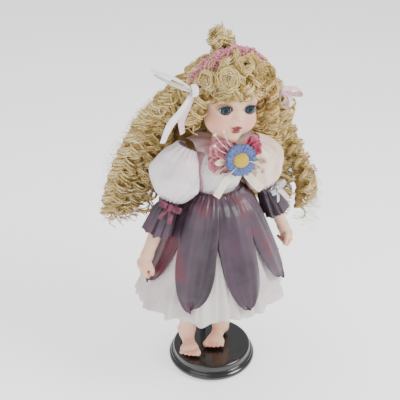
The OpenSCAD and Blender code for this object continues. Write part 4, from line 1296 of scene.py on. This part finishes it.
def bodice_grid(first, last, count):
    a = np.radians(np.linspace(first, last, count))[None, :]
    z, rx, ry, cy = [column[:, None] for column in path(BODICE_ROWS, 46).T]
    x, y = rounded(a, rx, ry)
    grid = np.stack([x, y + cy, z + 0 * a], axis=-1)
    tucks = 0.7 * np.cos(34 * a) * np.exp(-np.abs(z + 2) / 7)
    out = np.stack([np.cos(a), np.sin(a), 0 * a], axis=-1)
    grid = grid + out * (tucks + 0.5 * ripple(grid, 16, 61))[..., None]
    grid[..., 0] = np.clip(grid[..., 0], -CLOTH_EDGE, CLOTH_EDGE)
    return grid


def collar_grid(first, last, count, pleats, seed, rise):
    """A sheer stand-up frill: gathered at the neck, wide and pleated at its edge."""
    a = np.radians(np.linspace(first, last, count))[None, :]
    t = np.linspace(0, 1, 16)[:, None]
    edge = 34 + 5.0 * np.abs(np.cos(a)) ** 1.5 + 1.5 * np.sin(5 * a + seed)
    r = 13.4 + (edge - 13.4) * t ** 0.9
    z = 56 + rise * t - 4.0 * t ** 2 + 2.5 * t * np.abs(np.cos(a)) ** 2
    swing = np.sin(pleats * a + 1.2 * np.sin(3 * a + seed))
    z = z + swing * (0.3 + 1.4 * t)
    r = r + 1.8 * t * np.cos(pleats * a + 1.2 * np.sin(3 * a + seed))
    return np.stack([np.clip(r * np.cos(a), -COLLAR_EDGE, COLLAR_EDGE), -2 + 0.86 * r * np.sin(a), z],
                    axis=-1)


def bodice():
    front = make("bodice_front", weave(bodice_grid(-142, -38, 60)), "doll", VELVET, BODY,
                 replaces=["bodice"], wall=0.9, levels=1)
    sheet(62, 56)
    rest = make("bodice_back", weave(bodice_grid(-38, 218, 120)), "doll", MAUVE_SATIN, BODY,
                wall=0.9, levels=1)
    sheet(128, 56)
    right = make("collar_mauve", weave(collar_grid(-268, -84, 150, 9, 1, -1.0)), "doll", ORGANZA,
                 BODY, replaces=["collar"], wall=0.3, levels=1)
    sheet(78, 26)
    left = make("collar_cream", weave(collar_grid(-86, 94, 150, 10, 4, 9.0)), "doll", PALE_ORGANZA,
                BODY, wall=0.3, levels=1)
    sheet(84, 26)
    # diagonal folded bands of the same sheer cloth over the doll's left shoulder
    bands = []
    for k in range(4):
        out = 4.0 * k
        line = [(14 + out, -24 + 2.0 * k, 34 + 1.5 * k), (18 + out, -21 + 2.5 * k, 46),
                (18 + 0.8 * out, -14 + 3 * k, 57 - k), (15 + 0.8 * out, -2 + 2 * k, 60 - k)]
        bands.append(strip(line, 8.0, (0.8, -0.35, 0.3), cup=1.2))
    folded = make("collar_folds", joined(bands), "doll", PALE_ORGANZA, BODY, wall=0.4, levels=1)
    sheet(32, 38)


# ---------- Skirts ----------

def skirt_radius(z):
    """Radius of the gathered skirt under the waist seam, before its folds."""
    top = np.interp(z, [-20, FLARE_Z, -4, 5], [FLARE_R + 5.5, FLARE_R, 25.5, 25.0])
    return np.where(z > FLARE_Z - 9, top,
                    FLARE_R + 5.5 + (FLARE_Z - 9 - z) * (HEM_R - FLARE_R - 5.5) / (HEM_DROP - 9))


def hem_height(a):
    """The tulle hangs a little lower at the sides and back than in front."""
    return -136 + 9 * np.maximum(-np.sin(a), 0) - 5 * np.maximum(np.cos(a), 0)


def folds(a, number, seed):
    """An even mix of deep and shallow folds with uneven spacing, between about -1 and 1."""
    phase = number * a
    phase = phase + 0.9 * np.sin(2 * a + seed) + 0.6 * np.sin(3 * a + 2.1 * seed) + 0.4 * np.sin(5 * a - seed)
    return 0.75 * np.sin(phase) + 0.3 * np.sin(2 * phase + 1.1 * seed)


def skirt_grid(offset, drop, number, depth, seed):
    rows, cols = 56, 420
    a = np.linspace(0, 2 * math.pi, cols, endpoint=False)[None, :]
    t = np.linspace(0, 1, rows)[:, None] ** 0.9
    z = -3.4 + (hem_height(a) * drop + 3.4) * t + 2.2 * t * folds(a, 9, seed + 3)
    wide = 1 - 0.1 * t * np.cos(a) * (np.cos(a) > 0) + 0.05 * t * (np.cos(a) < 0) * np.abs(np.cos(a))
    r = (skirt_radius(z) + offset) * wide
    r = r + depth * t ** 1.3 * folds(a, number, seed) * (0.75 + 0.25 * np.sin(4 * a + seed))
    r = r + 0.5 * np.exp(-t / 0.1) * np.cos(74 * a) + 0.5 * t * np.sin(41 * a + 3 * t + seed)
    return np.stack([r * np.cos(a), r * np.sin(a), z], axis=-1)


def petal_grid(middle, reach, wide, seed, lift=0.0):
    """One leaf-shaped petal of taffeta, gathered at the waist and folded lengthwise."""
    u = np.linspace(-1, 1, 61)[None, :]
    t = np.linspace(0, 1, 64)[:, None]
    blunt = np.sqrt(np.clip(1 - (np.clip(t - 0.58, 0, 1) / 0.42) ** 2.2, 0, 1))
    z = -1.6 - reach * t - 3.0 * (t ** 2) * u * math.sin(seed)
    r = skirt_radius(z) + 2.6 + 4.6 * t ** 0.8 + lift * np.sin(math.pi * np.minimum(t + 0.08, 1)) ** 0.5
    full = 0.48 * (skirt_radius(-1.6 - reach * t) + 3)
    half = np.minimum(full, wide / 2) * blunt + 0.05
    a = math.radians(middle) + u * half / r + 0.05 * np.sin(3 * t + seed) * t
    phase = 3.6 * u + 1.1 * np.sin(2.2 * t + seed) + seed
    ridge = (1.9 * np.sin(phase) + 1.0 * np.sin(2.3 * phase + seed)) * (0.3 + 0.7 * t ** 0.6) * (1 - 0.3 * t)
    gather = (0.8 * np.cos(27 * u + 2 * np.sin(4 * u + seed)) * np.exp(-t / 0.09)
              + 0.7 * np.cos(11 * u + 3 * np.sin(2 * u + seed)) * np.exp(-t / 0.3))
    curl = 1.5 * np.abs(u) ** 4 * t * (0.6 + 0.4 * np.sin(seed + 2 * u)) + 2.5 * t ** 4
    belly = 6.4 * np.sin(math.pi * np.clip(0.06 + 0.9 * t, 0, 1)) ** 0.7 * (np.sqrt(1.02 - u ** 2) - 0.45)
    r = r + ridge + gather + curl + belly
    return np.stack([r * np.cos(a), r * np.sin(a), z + 0.6 * np.sin(7 * u + seed) * t], axis=-1)


def skirts():
    lining = make("skirt_lining_cloth", weave(skirt_grid(-1.0, 0.84, 9, 3.0, 0.6), loop=True), "doll",
                  LINING, UPRIGHT, replaces=["skirt_lining"], wall=0.3)
    sheet(400, 110)
    for k, (offset, number, depth, seed, drop) in enumerate(((0.4, 13, 4.4, 1.7, 0.97),
                                                             (1.2, 16, 5.2, 3.9, 0.99),
                                                             (2.0, 14, 6.0, 5.3, 1.0))):
        layer = make(f"tulle_layer_{k + 1}", weave(skirt_grid(offset, drop, number, depth, seed), loop=True),
                     "doll", TULLE, UPRIGHT, replaces=["tulle_skirt"] if k == 0 else (), wall=0.3)
        sheet(440, 138)
    reaches = {1: 104, 2: 110, 3: 106, 4: 103, 5: 112, 6: 113, 7: 104, 8: 106}
    for i in range(1, 9):
        grid = petal_grid(45 * i, reaches[i], 46, 0.9 * i + 0.4, lift=2.4 * (i % 2))
        item = make(f"overskirt_petal_{i}", weave(grid), "doll", TAFFETA, UPRIGHT,
                    replaces=[f"skirt_petal_{i}"], wall=0.4)
        sheet(56, 116, area=0.78)
    a = np.linspace(0, 2 * math.pi, 720, endpoint=False)[None, :]
    t = np.linspace(0, 1, 9)[:, None]
    r = 27.4 + 1.3 * np.sin(math.pi * t) + 0.55 * np.cos(86 * a + 2 * np.sin(7 * a))
    band = np.stack([r * np.cos(a), 0.98 * r * np.sin(a), -0.3 - 4.6 * t + 0 * a], axis=-1)
    item = make("skirt_band", weave(band, loop=True), "doll", TAFFETA, UPRIGHT,
                replaces=["skirt_waistband"], wall=0.5)
    sheet(230, 12, area=0.6)


# ---------- Sleeves ----------

def tube(r, s, a):
    """Points round an arm at a radius, a distance down the arm and an angle."""
    return np.stack([r * np.cos(a), r * np.sin(a), -s + 0 * a], axis=-1)


def sleeves():
    for name, side in SIDES.items():
        body = f"{name}_arm"
        a = np.linspace(0, 2 * math.pi, 220, endpoint=False)[None, :]
        t = np.linspace(0, 1, 60)[:, None]
        s = -11 + (PUFF_END + 10.6) * t
        r = 9.6 + 19.0 * np.sin(math.pi * (0.05 + 0.9 * t ** 1.2)) ** 0.72
        ends = np.exp(-t / 0.16) + np.exp(-(1 - t) / 0.16)
        r = r + 1.1 * ends * np.cos(19 * a + 1.5 * np.sin(3 * a))
        r = r + 1.5 * np.sin(math.pi * t) * folds(a + 0.5 * t, 6, side + 2.6)
        grid = tube(r, s, a)
        full = np.sin(math.pi * t)
        grid = grid * (1 + 0.05 * full * ripple(grid, 24, 70 + side))[..., None]
        grid[..., 0] = grid[..., 0] + side * 5.0 * full * (side * np.cos(a) > 0) * np.cos(a) ** 2
        local = put(np.linalg.inv(BODY) @ ARM[side], grid)
        local[..., 0] = side * np.maximum(side * local[..., 0],
                                          SIDE_PLANE + 0.6 + 0.7 * np.maximum(-local[..., 2], 0))
        puff = make(f"{name}_puff", weave(local, loop=True), body,
                    LILAC_SATIN if side == RIGHT else PEACH_SATIN, BODY,
                    replaces=[f"{name}_sleeve_puff"], wall=0.5)
        sheet(138, 78)

        t = np.linspace(0, 1, 48)[:, None]
        s = PUFF_END + 0.6 + (CUFF_END - PUFF_END - 1.0) * t
        wave = folds(a, 9, 1.3 + side)
        r = 10.8 + 4.6 * t ** 0.9 + (0.3 + 2.0 * t) * wave + 0.8 * np.exp(-t / 0.12) * np.cos(26 * a)
        pinch = 1 - 0.16 * np.exp(-((t - 0.2) / 0.1) ** 2)
        grid = tube(r * pinch, s + 1.5 * t * np.cos(9 * a + 1), a)
        cuff = make(f"{name}_cuff", weave(grid, loop=True), body, TAFFETA, ARM[side],
                    replaces=[f"{name}_sleeve_cuff"], wall=0.5)
        sheet(110, 48)
        t = np.linspace(0, 1, 6)[:, None]
        r = 10.6 + 2.2 * t + 0.9 * np.cos(22 * a + np.sin(4 * a)) * (0.3 + t)
        frill = make(f"{name}_frill", weave(tube(r, PUFF_END - 1.8 + 3.0 * t, a), loop=True), body,
                     WHITE_SATIN, ARM[side], wall=0.4)
        sheet(100, 10, area=0.45)


# ---------- Ribbons ----------

def ribbon_grid(line, width, across, cup=0.6, taper=0.0, sway=0.0):
    """A ribbon along a smooth line, its width along a direction that is squared to the line."""
    count = 40
    points = path(line, count)
    t = np.linspace(0, 1, count)
    along = np.gradient(points, axis=0)
    along /= np.linalg.norm(along, axis=1, keepdims=True)
    wide = np.asarray(across, float) + sway * np.sin(2.5 * math.pi * t)[:, None] * np.array([0.3, 0.5, -0.3])
    wide = wide - along * np.sum(wide * along, axis=1, keepdims=True)
    wide /= np.linalg.norm(wide, axis=1, keepdims=True) + 1e-9
    face = np.cross(along, wide)
    u = np.linspace(-1, 1, 7)
    half = width / 2 * (1 - taper * np.exp(-t / 0.12))
    return (points[:, None] + wide[:, None] * (half[:, None] * u)[..., None]
            + face[:, None] * (cup * (1 - u ** 2))[..., None])


def strip(line, width, across, **shape):
    """A ribbon's points, faces and UVs."""
    return weave(ribbon_grid(line, width, across, **shape))


def loop_line(start, end, bulge):
    """A flattened loop that leaves a knot, turns at its far end and comes back."""
    start, end, bulge = (np.asarray(v, float) for v in (start, end, bulge))
    out = end - start
    return [start, start + 0.35 * out + bulge, start + 0.8 * out + bulge * 0.95, end,
            start + 0.8 * out - bulge * 0.75, start + 0.35 * out - bulge * 0.8, start]


def bow_place(side):
    """The front of a cuff, a little to the outside."""
    return ARM[side] @ turn("z", side * 20.0) @ shift(0, -16.5, -55.5)


def sleeve_bows():
    for name, side in SIDES.items():
        place = bow_place(side)
        body = f"{name}_arm"
        cloth_of = WINE_SATIN if side == RIGHT else SILVER_RIBBON
        parts = []
        for way, lift in ((-1, 3.0), (1, 1.0)):
            parts.append(strip(loop_line((0, 0, 0), (way * 12.5, -3.2, lift), (0, -3.0, 0.6)), 7.0,
                               (0, 0.15, 1), taper=0.55))
        for way, drop in ((-1, 15), (1, 17)):
            line = [(way * 0.5, -1, 0), (way * 4, -3.2, -drop * 0.45), (way * 6, -1.6, -drop)]
            parts.append(strip(line, 6.0, (1, 0.2, 0.2 * way), taper=0.5))
        parts.append(strip([(0, 1, 3.4), (0, -2.6, 2.6), (0, -3.4, 0), (0, -2.6, -2.8), (0, 1, -3.4)], 5.0,
                           (1, 0, 0), cup=0.8))
        bow = make(f"{name}_bow", joined(parts), body, cloth_of, place,
                   replaces=[f"{name}_sleeve_bow"], wall=0.4, levels=1)
        sheet(7, 104)
    hanging = strip([(0, -2, 0), (2, -5.4, -8), (5, -6.2, -19)], 7, (1, 0.2, 0))
    end = make("left_bow_pink_end", hanging, "left_arm", PINK_SATIN, bow_place(LEFT),
               wall=0.35, levels=1)
    sheet(10, 21, area=0.7)


# ---------- Flowers ----------

def petal(length, width, cup, ruffle, seed):
    """One cloth petal in its own frame: it grows along Y, and Z is its upper face."""
    t = np.linspace(0, 1, 9)[:, None]
    u = np.linspace(-1, 1, 9)[None, :]
    half = width / 2 * np.sin(math.pi * (0.12 + 0.74 * t)) ** 0.7
    z = cup * (u ** 2) * half / 3 + cup * t ** 2 * length * 0.28 + ruffle * t ** 2 * np.sin(5 * u + seed)
    y = length * t - 0.12 * length * t ** 3 * u ** 2 + 0.25 * ruffle * np.cos(4 * u + seed) * t
    return np.stack([half * u, y + 0 * u, z], axis=-1)


def rose(place, r, seed, layers=((3, 74, 0.52), (5, 50, 0.8), (6, 22, 1.0), (6, 2, 1.12))):
    """A cloth rose of whorls (petals, degrees above flat, share of the radius), about its own Z."""
    rng = np.random.default_rng(seed)
    parts = []
    for count, rise, share in layers:
        spin = rng.uniform(0, 360)
        for k in range(count):
            size = r * share * rng.uniform(0.9, 1.1)
            grid = petal(size, size * 1.15, 0.6, 0.09 * r, rng.uniform(0, 6))
            tip = (place @ turn("z", spin + k * 360 / count + rng.uniform(-8, 8))
                   @ shift(0, 0.1 * r, 0.1 * r * share) @ turn("x", rise + rng.uniform(-9, 9)))
            parts.append(weave(put(tip, grid)))
    return joined(parts)


def ring_tree():
    """Copies a piece round a circle: each copy faces outwards, with a little spread in its tilt and size."""
    inputs = [("Petal", "Geometry", None), ("Count", "Int", 22), ("Radius", "Float", 0.006),
              ("Tilt", "Float", 0.1), ("Spread", "Float", 0.08), ("Seed", "Int", 1),
              ("Finish", "Material", None)]
    tree, given = new_tree("ring_of_petals", inputs, "Flower")
    circle = add(tree, "GeometryNodeMeshCircle",
                 {"Vertices": given["Count"], "Radius": given["Radius"]}).outputs[0]
    number = add(tree, "GeometryNodeInputIndex").outputs[0]
    share = add(tree, "ShaderNodeMath", {0: number, 1: given["Count"]}, operation="DIVIDE").outputs[0]
    spin = add(tree, "ShaderNodeMath", {0: share, 1: 2 * math.pi, 2: -math.pi / 2},
               operation="MULTIPLY_ADD").outputs[0]
    low = add(tree, "ShaderNodeMath", {0: given["Tilt"], 1: given["Spread"]}, operation="SUBTRACT").outputs[0]
    high = add(tree, "ShaderNodeMath", {0: given["Tilt"], 1: given["Spread"]}, operation="ADD").outputs[0]
    tilt = add(tree, "FunctionNodeRandomValue", {2: low, 3: high, "Seed": given["Seed"]},
               data_type="FLOAT").outputs[1]
    size = add(tree, "FunctionNodeRandomValue", {2: 0.93, 3: 1.04, "Seed": given["Seed"]},
               data_type="FLOAT").outputs[1]
    angles = add(tree, "ShaderNodeCombineXYZ", {0: tilt, 2: spin}).outputs[0]
    way = add(tree, "FunctionNodeEulerToRotation", {0: angles}).outputs[0]
    copies = add(tree, "GeometryNodeInstanceOnPoints",
                 {"Points": circle, "Instance": given["Petal"], "Rotation": way, "Scale": size}).outputs[0]
    return end_tree(tree, copies, given["Finish"])


def ring_of_petals(name, shape, place, count, radius, tilt, seed, finish, body, replaces=()):
    """A flower's petals: one petal in mm, copied round a circle and set in its place."""
    mesh = bpy.data.meshes.new(name + "_petal")
    mesh.from_pydata((shape[0] * MM).tolist(), [], shape[1].tolist())
    mesh.uv_layers.new(name="cut").data.foreach_set("uv", np.asarray(shape[2], np.float32).ravel())
    mesh.polygons.foreach_set("use_smooth", [True] * len(mesh.polygons))
    item = grown(name, mesh, RING, {"Count": count, "Radius": radius * MM, "Tilt": tilt, "Spread": 0.08,
                                    "Seed": seed, "Finish": finish}, body, replaces)
    points = np.empty(len(item.data.vertices) * 3)
    item.data.vertices.foreach_get("co", points)
    item.data.vertices.foreach_set("co", (put(place, points.reshape(-1, 3) / MM) * MM).ravel())
    thick = item.modifiers.new("wall", "SOLIDIFY")
    thick.thickness = 0.5 * MM
    thick.offset = 0
    return item


RING = ring_tree()
CORSAGE = BODY @ shift(3, -41, 51) @ turn("z", -6) @ turn("x", 72)


def daisy_petal():
    """A long ray with ridges along it and a toothed tip."""
    t = np.linspace(0, 1, 12)[:, None]
    u = np.linspace(-1, 1, 9)[None, :]
    half = 2.25 * np.sin(math.pi * (0.16 + 0.66 * t)) ** 0.6
    y = 12.2 * t - 0.9 * t * (1 - np.cos(3 * math.pi * u)) * 0.5 * (t > 0.9)
    z = 0.5 * np.cos(3 * math.pi * u) + 1.1 * np.sin(math.pi * t) - 0.8 * t
    return weave(np.stack([half * u, y + 0 * u, z + 0 * t], axis=-1))


def corsage():
    daisy = ring_of_petals("daisy_rays", daisy_petal(), CORSAGE @ shift(0, 0, 2.0), 22, 5.6, 0.08, 3,
                           BLUE_CLOTH, "doll", replaces=["corsage_daisy"])
    sheet(44, 40, area=0.8)
    under = ring_of_petals("daisy_under_rays", daisy_petal(), CORSAGE @ turn("z", 8) @ shift(0, 0, 0.2), 20,
                           5.2, -0.04, 9, BLUE_CLOTH, "doll")
    sheet(44, 38, area=0.75)

    def pad(p):
        return egg(p, (0, 0, 1.4), (8.4, 7.6, 3.6)) + 0.35 * ripple(p, 1.3, 5)
    points, faces = skin(pad, (-10, -10, -3), (10, 10, 7), 0.45)
    make("daisy_middle", (points, faces), "doll", FLOSS, CORSAGE @ shift(0, 0, 1.6),
         replaces=["corsage_daisy_centre"])

    parts = [rose(CORSAGE @ shift(-15, 7, -11) @ turn("x", -14) @ turn("y", -24), 13.5, 21),
             rose(CORSAGE @ shift(-19, -4, -10) @ turn("y", -34), 10.5, 22)]
    left = make("corsage_rose_pink", joined(parts), "doll", ROSE_CLOTH,
                replaces=["corsage_roses"], wall=0.4, levels=1)
    sheet(120, 110, area=0.5)
    right = make("corsage_rose_magenta",
                 rose(CORSAGE @ shift(15, 9, -11) @ turn("x", -12) @ turn("y", 26), 12, 23), "doll",
                 MAGENTA_CLOTH, wall=0.4, levels=1)
    sheet(70, 75, area=0.6)
    white = ring_of_petals("corsage_white_flower", weave(petal(6.5, 5.0, 0.7, 0.3, 1)),
                           CORSAGE @ shift(19.5, -1, -1.5) @ turn("y", 20), 6, 0.8, 0.3, 4, CREAM_SATIN,
                           "doll")
    sheet(16, 14, area=0.7)
    leaf = make("corsage_leaf",
                weave(put(CORSAGE @ shift(-15, -1, -2) @ turn("z", 95), petal(13, 7, 0.4, 0.4, 2))), "doll",
                LEAF_CLOTH, wall=0.4, levels=1)
    sheet(13, 10, area=0.5)

    bow = []
    for line, width, across in (
            ([(-2, -6, -1), (-9, -14, -1.5), (-19, -26, 0.5), (-27, -37, 2.0)], 9.0, (0.75, -0.6, 0)),
            ([(2, -6, -1), (8, -15, -1.5), (17, -26, 1.5), (25, -33, 0.5)], 9.0, (0.75, 0.6, 0.1)),
            (loop_line((-3, -3, -2), (-26, -15, 1.0), (1.6, -3.6, 2.2)), 8.5, (0.3, 0.2, 1)),
            (loop_line((3, -3, -2), (22, -9, 1.5), (0, 3.2, 2.2)), 8.5, (0.1, 0.2, 1))):
        bow.append(strip(line, width, across, taper=0.35))
    tails = make("corsage_ribbon", joined(bow), "doll", CREAM_SATIN, CORSAGE,
                 replaces=["corsage_bow"], wall=0.35, levels=1)
    sheet(9, 190)
    sheer = [strip(loop_line((4, -4, -3), (27, -3, 0.5), (1, 4.5, 2)), 9.0, (0.1, 0.3, 1), taper=0.4),
             strip(loop_line((4, -5, -3), (25, -14, 0.5), (2, 3.4, 2)), 9.0, (0.1, 0.3, 1), taper=0.4)]
    loops = make("corsage_sheer_loops", joined(sheer), "doll", PEACH_SHEER, CORSAGE,
                 wall=0.3, levels=1)
    sheet(9, 100)

    wires = []
    for angle, reach in ((122, 36), (136, 40), (150, 33)):
        a = math.radians(angle)
        way = np.array([math.cos(a), math.sin(a), 0])
        bend = np.array([-math.sin(a), math.cos(a), 0.3]) * 1.6
        line = path([way * 12 + (0, 0, -1), way * 0.5 * (reach + 12) + bend, way * reach + (0, 0, 0.4)], 14)
        a = np.arange(6) * math.pi / 3
        ring = np.stack([0 * a, np.cos(a), np.sin(a)], axis=1) @ turn("z", angle)[:3, :3].T
        wires.append(weave(line[:, None] + 0.32 * ring[None], loop=True))
        b = np.linspace(0, math.pi, 10)
        pearl = lathe(np.stack([1.7 * np.sin(b), -2.0 * np.cos(b)], axis=1), 16)
        wires.append((put(shift(*line[-1]), pearl[0]), pearl[1], pearl[2]))
    seal(make("pearl_stamens", joined(wires), "doll", PEARL, CORSAGE, replaces=["corsage_stamens"]))


# ---------- What is worn on the hair ----------

def on_wreath(angle):
    return BODY @ shift(*SKULL) @ turn("x", 8) @ turn("y", -angle) @ shift(40.6, 0, 0) @ turn("y", 90)


def wreath():
    parts = []
    for k, angle in enumerate((20, 43, 66, 89, 112, 135, 158)):
        parts.append(rose(on_wreath(angle) @ shift(0, 0, 1.5), 8.6 + (0.9 if k in (2, 3) else 0), 40 + k))
        for side in (-1, 1):
            tucked = on_wreath(angle + 11) @ shift(0, side * 4.5, 1.0)
            tucked = tucked @ turn("x", side * -35) @ turn("z", 90 * side)
            parts.append(rose(tucked, 5.2, 80 + 2 * k + side, layers=((3, 60, 0.7), (4, 20, 1.0))))
    roses = make("wreath_cloth_roses", joined(parts), "doll", ROSE_CLOTH,
                 replaces=["wreath_roses"], wall=0.35)
    sheet(240, 150, area=0.4)

    knot = SKULL + (-50, -20, 13)
    left = SKULL + (50, -20, 6)
    white = [strip(loop_line(knot, knot + (-46, -2, 23), (-1, -2.5, 4.2)), 8.5, (0, 1, 0.25), taper=0.4),
             strip([knot, knot + (-13, -4, -17), knot + (-23, -2, -34), knot + (-30, -3, -52)], 8.5,
                   (0.9, 0.2, -0.4), taper=0.4, sway=0.5),
             strip([knot + (0, 3, 5), knot + (-1, -4.6, 3), knot + (-1, -5, -3), knot + (0, 3, -5)], 7,
                   (1, 0, 0.2), cup=1.0)]
    item = make("wreath_white_ribbon", joined(white), "doll", WHITE_SATIN, BODY,
                replaces=["wreath_ribbons"], wall=0.35, levels=1)
    sheet(9, 176)
    tail = strip([knot, knot + (-3, 1, -16), knot + (-9, 2, -32), knot + (-7, 1, -46)], 8, (0.95, 0.3, 0.1),
                 taper=0.4, sway=0.5)
    item = make("wreath_pink_tail", tail, "doll", PINK_SATIN, BODY, wall=0.35, levels=1)
    sheet(10, 46, area=0.8)
    bow = [strip(loop_line(left, left + (22, -3, -4), (0, -2.5, 4.2)), 9, (0, 1, 0.2), taper=0.4),
           strip(loop_line(left, left + (4, -4, -17), (4.0, -2.0, 0)), 9, (0.2, 1, 0.1), taper=0.4),
           strip([left, left + (8, -2, -8), left + (15, -1, -18)], 8, (0.8, 0.4, 0.5), taper=0.4)]
    item = make("wreath_pink_bow", joined(bow), "doll", PINK_SATIN, BODY,
                replaces=["wreath_bow"], wall=0.35, levels=1)
    sheet(9, 116)


# ---------- The whole doll ----------

def build():
    studio()
    camera()
    stand()
    head()
    eyes()
    lashes()
    limbs()
    stuffed()
    wig()
    bodice()
    skirts()
    sleeves()
    sleeve_bows()
    corsage()
    wreath()


build()
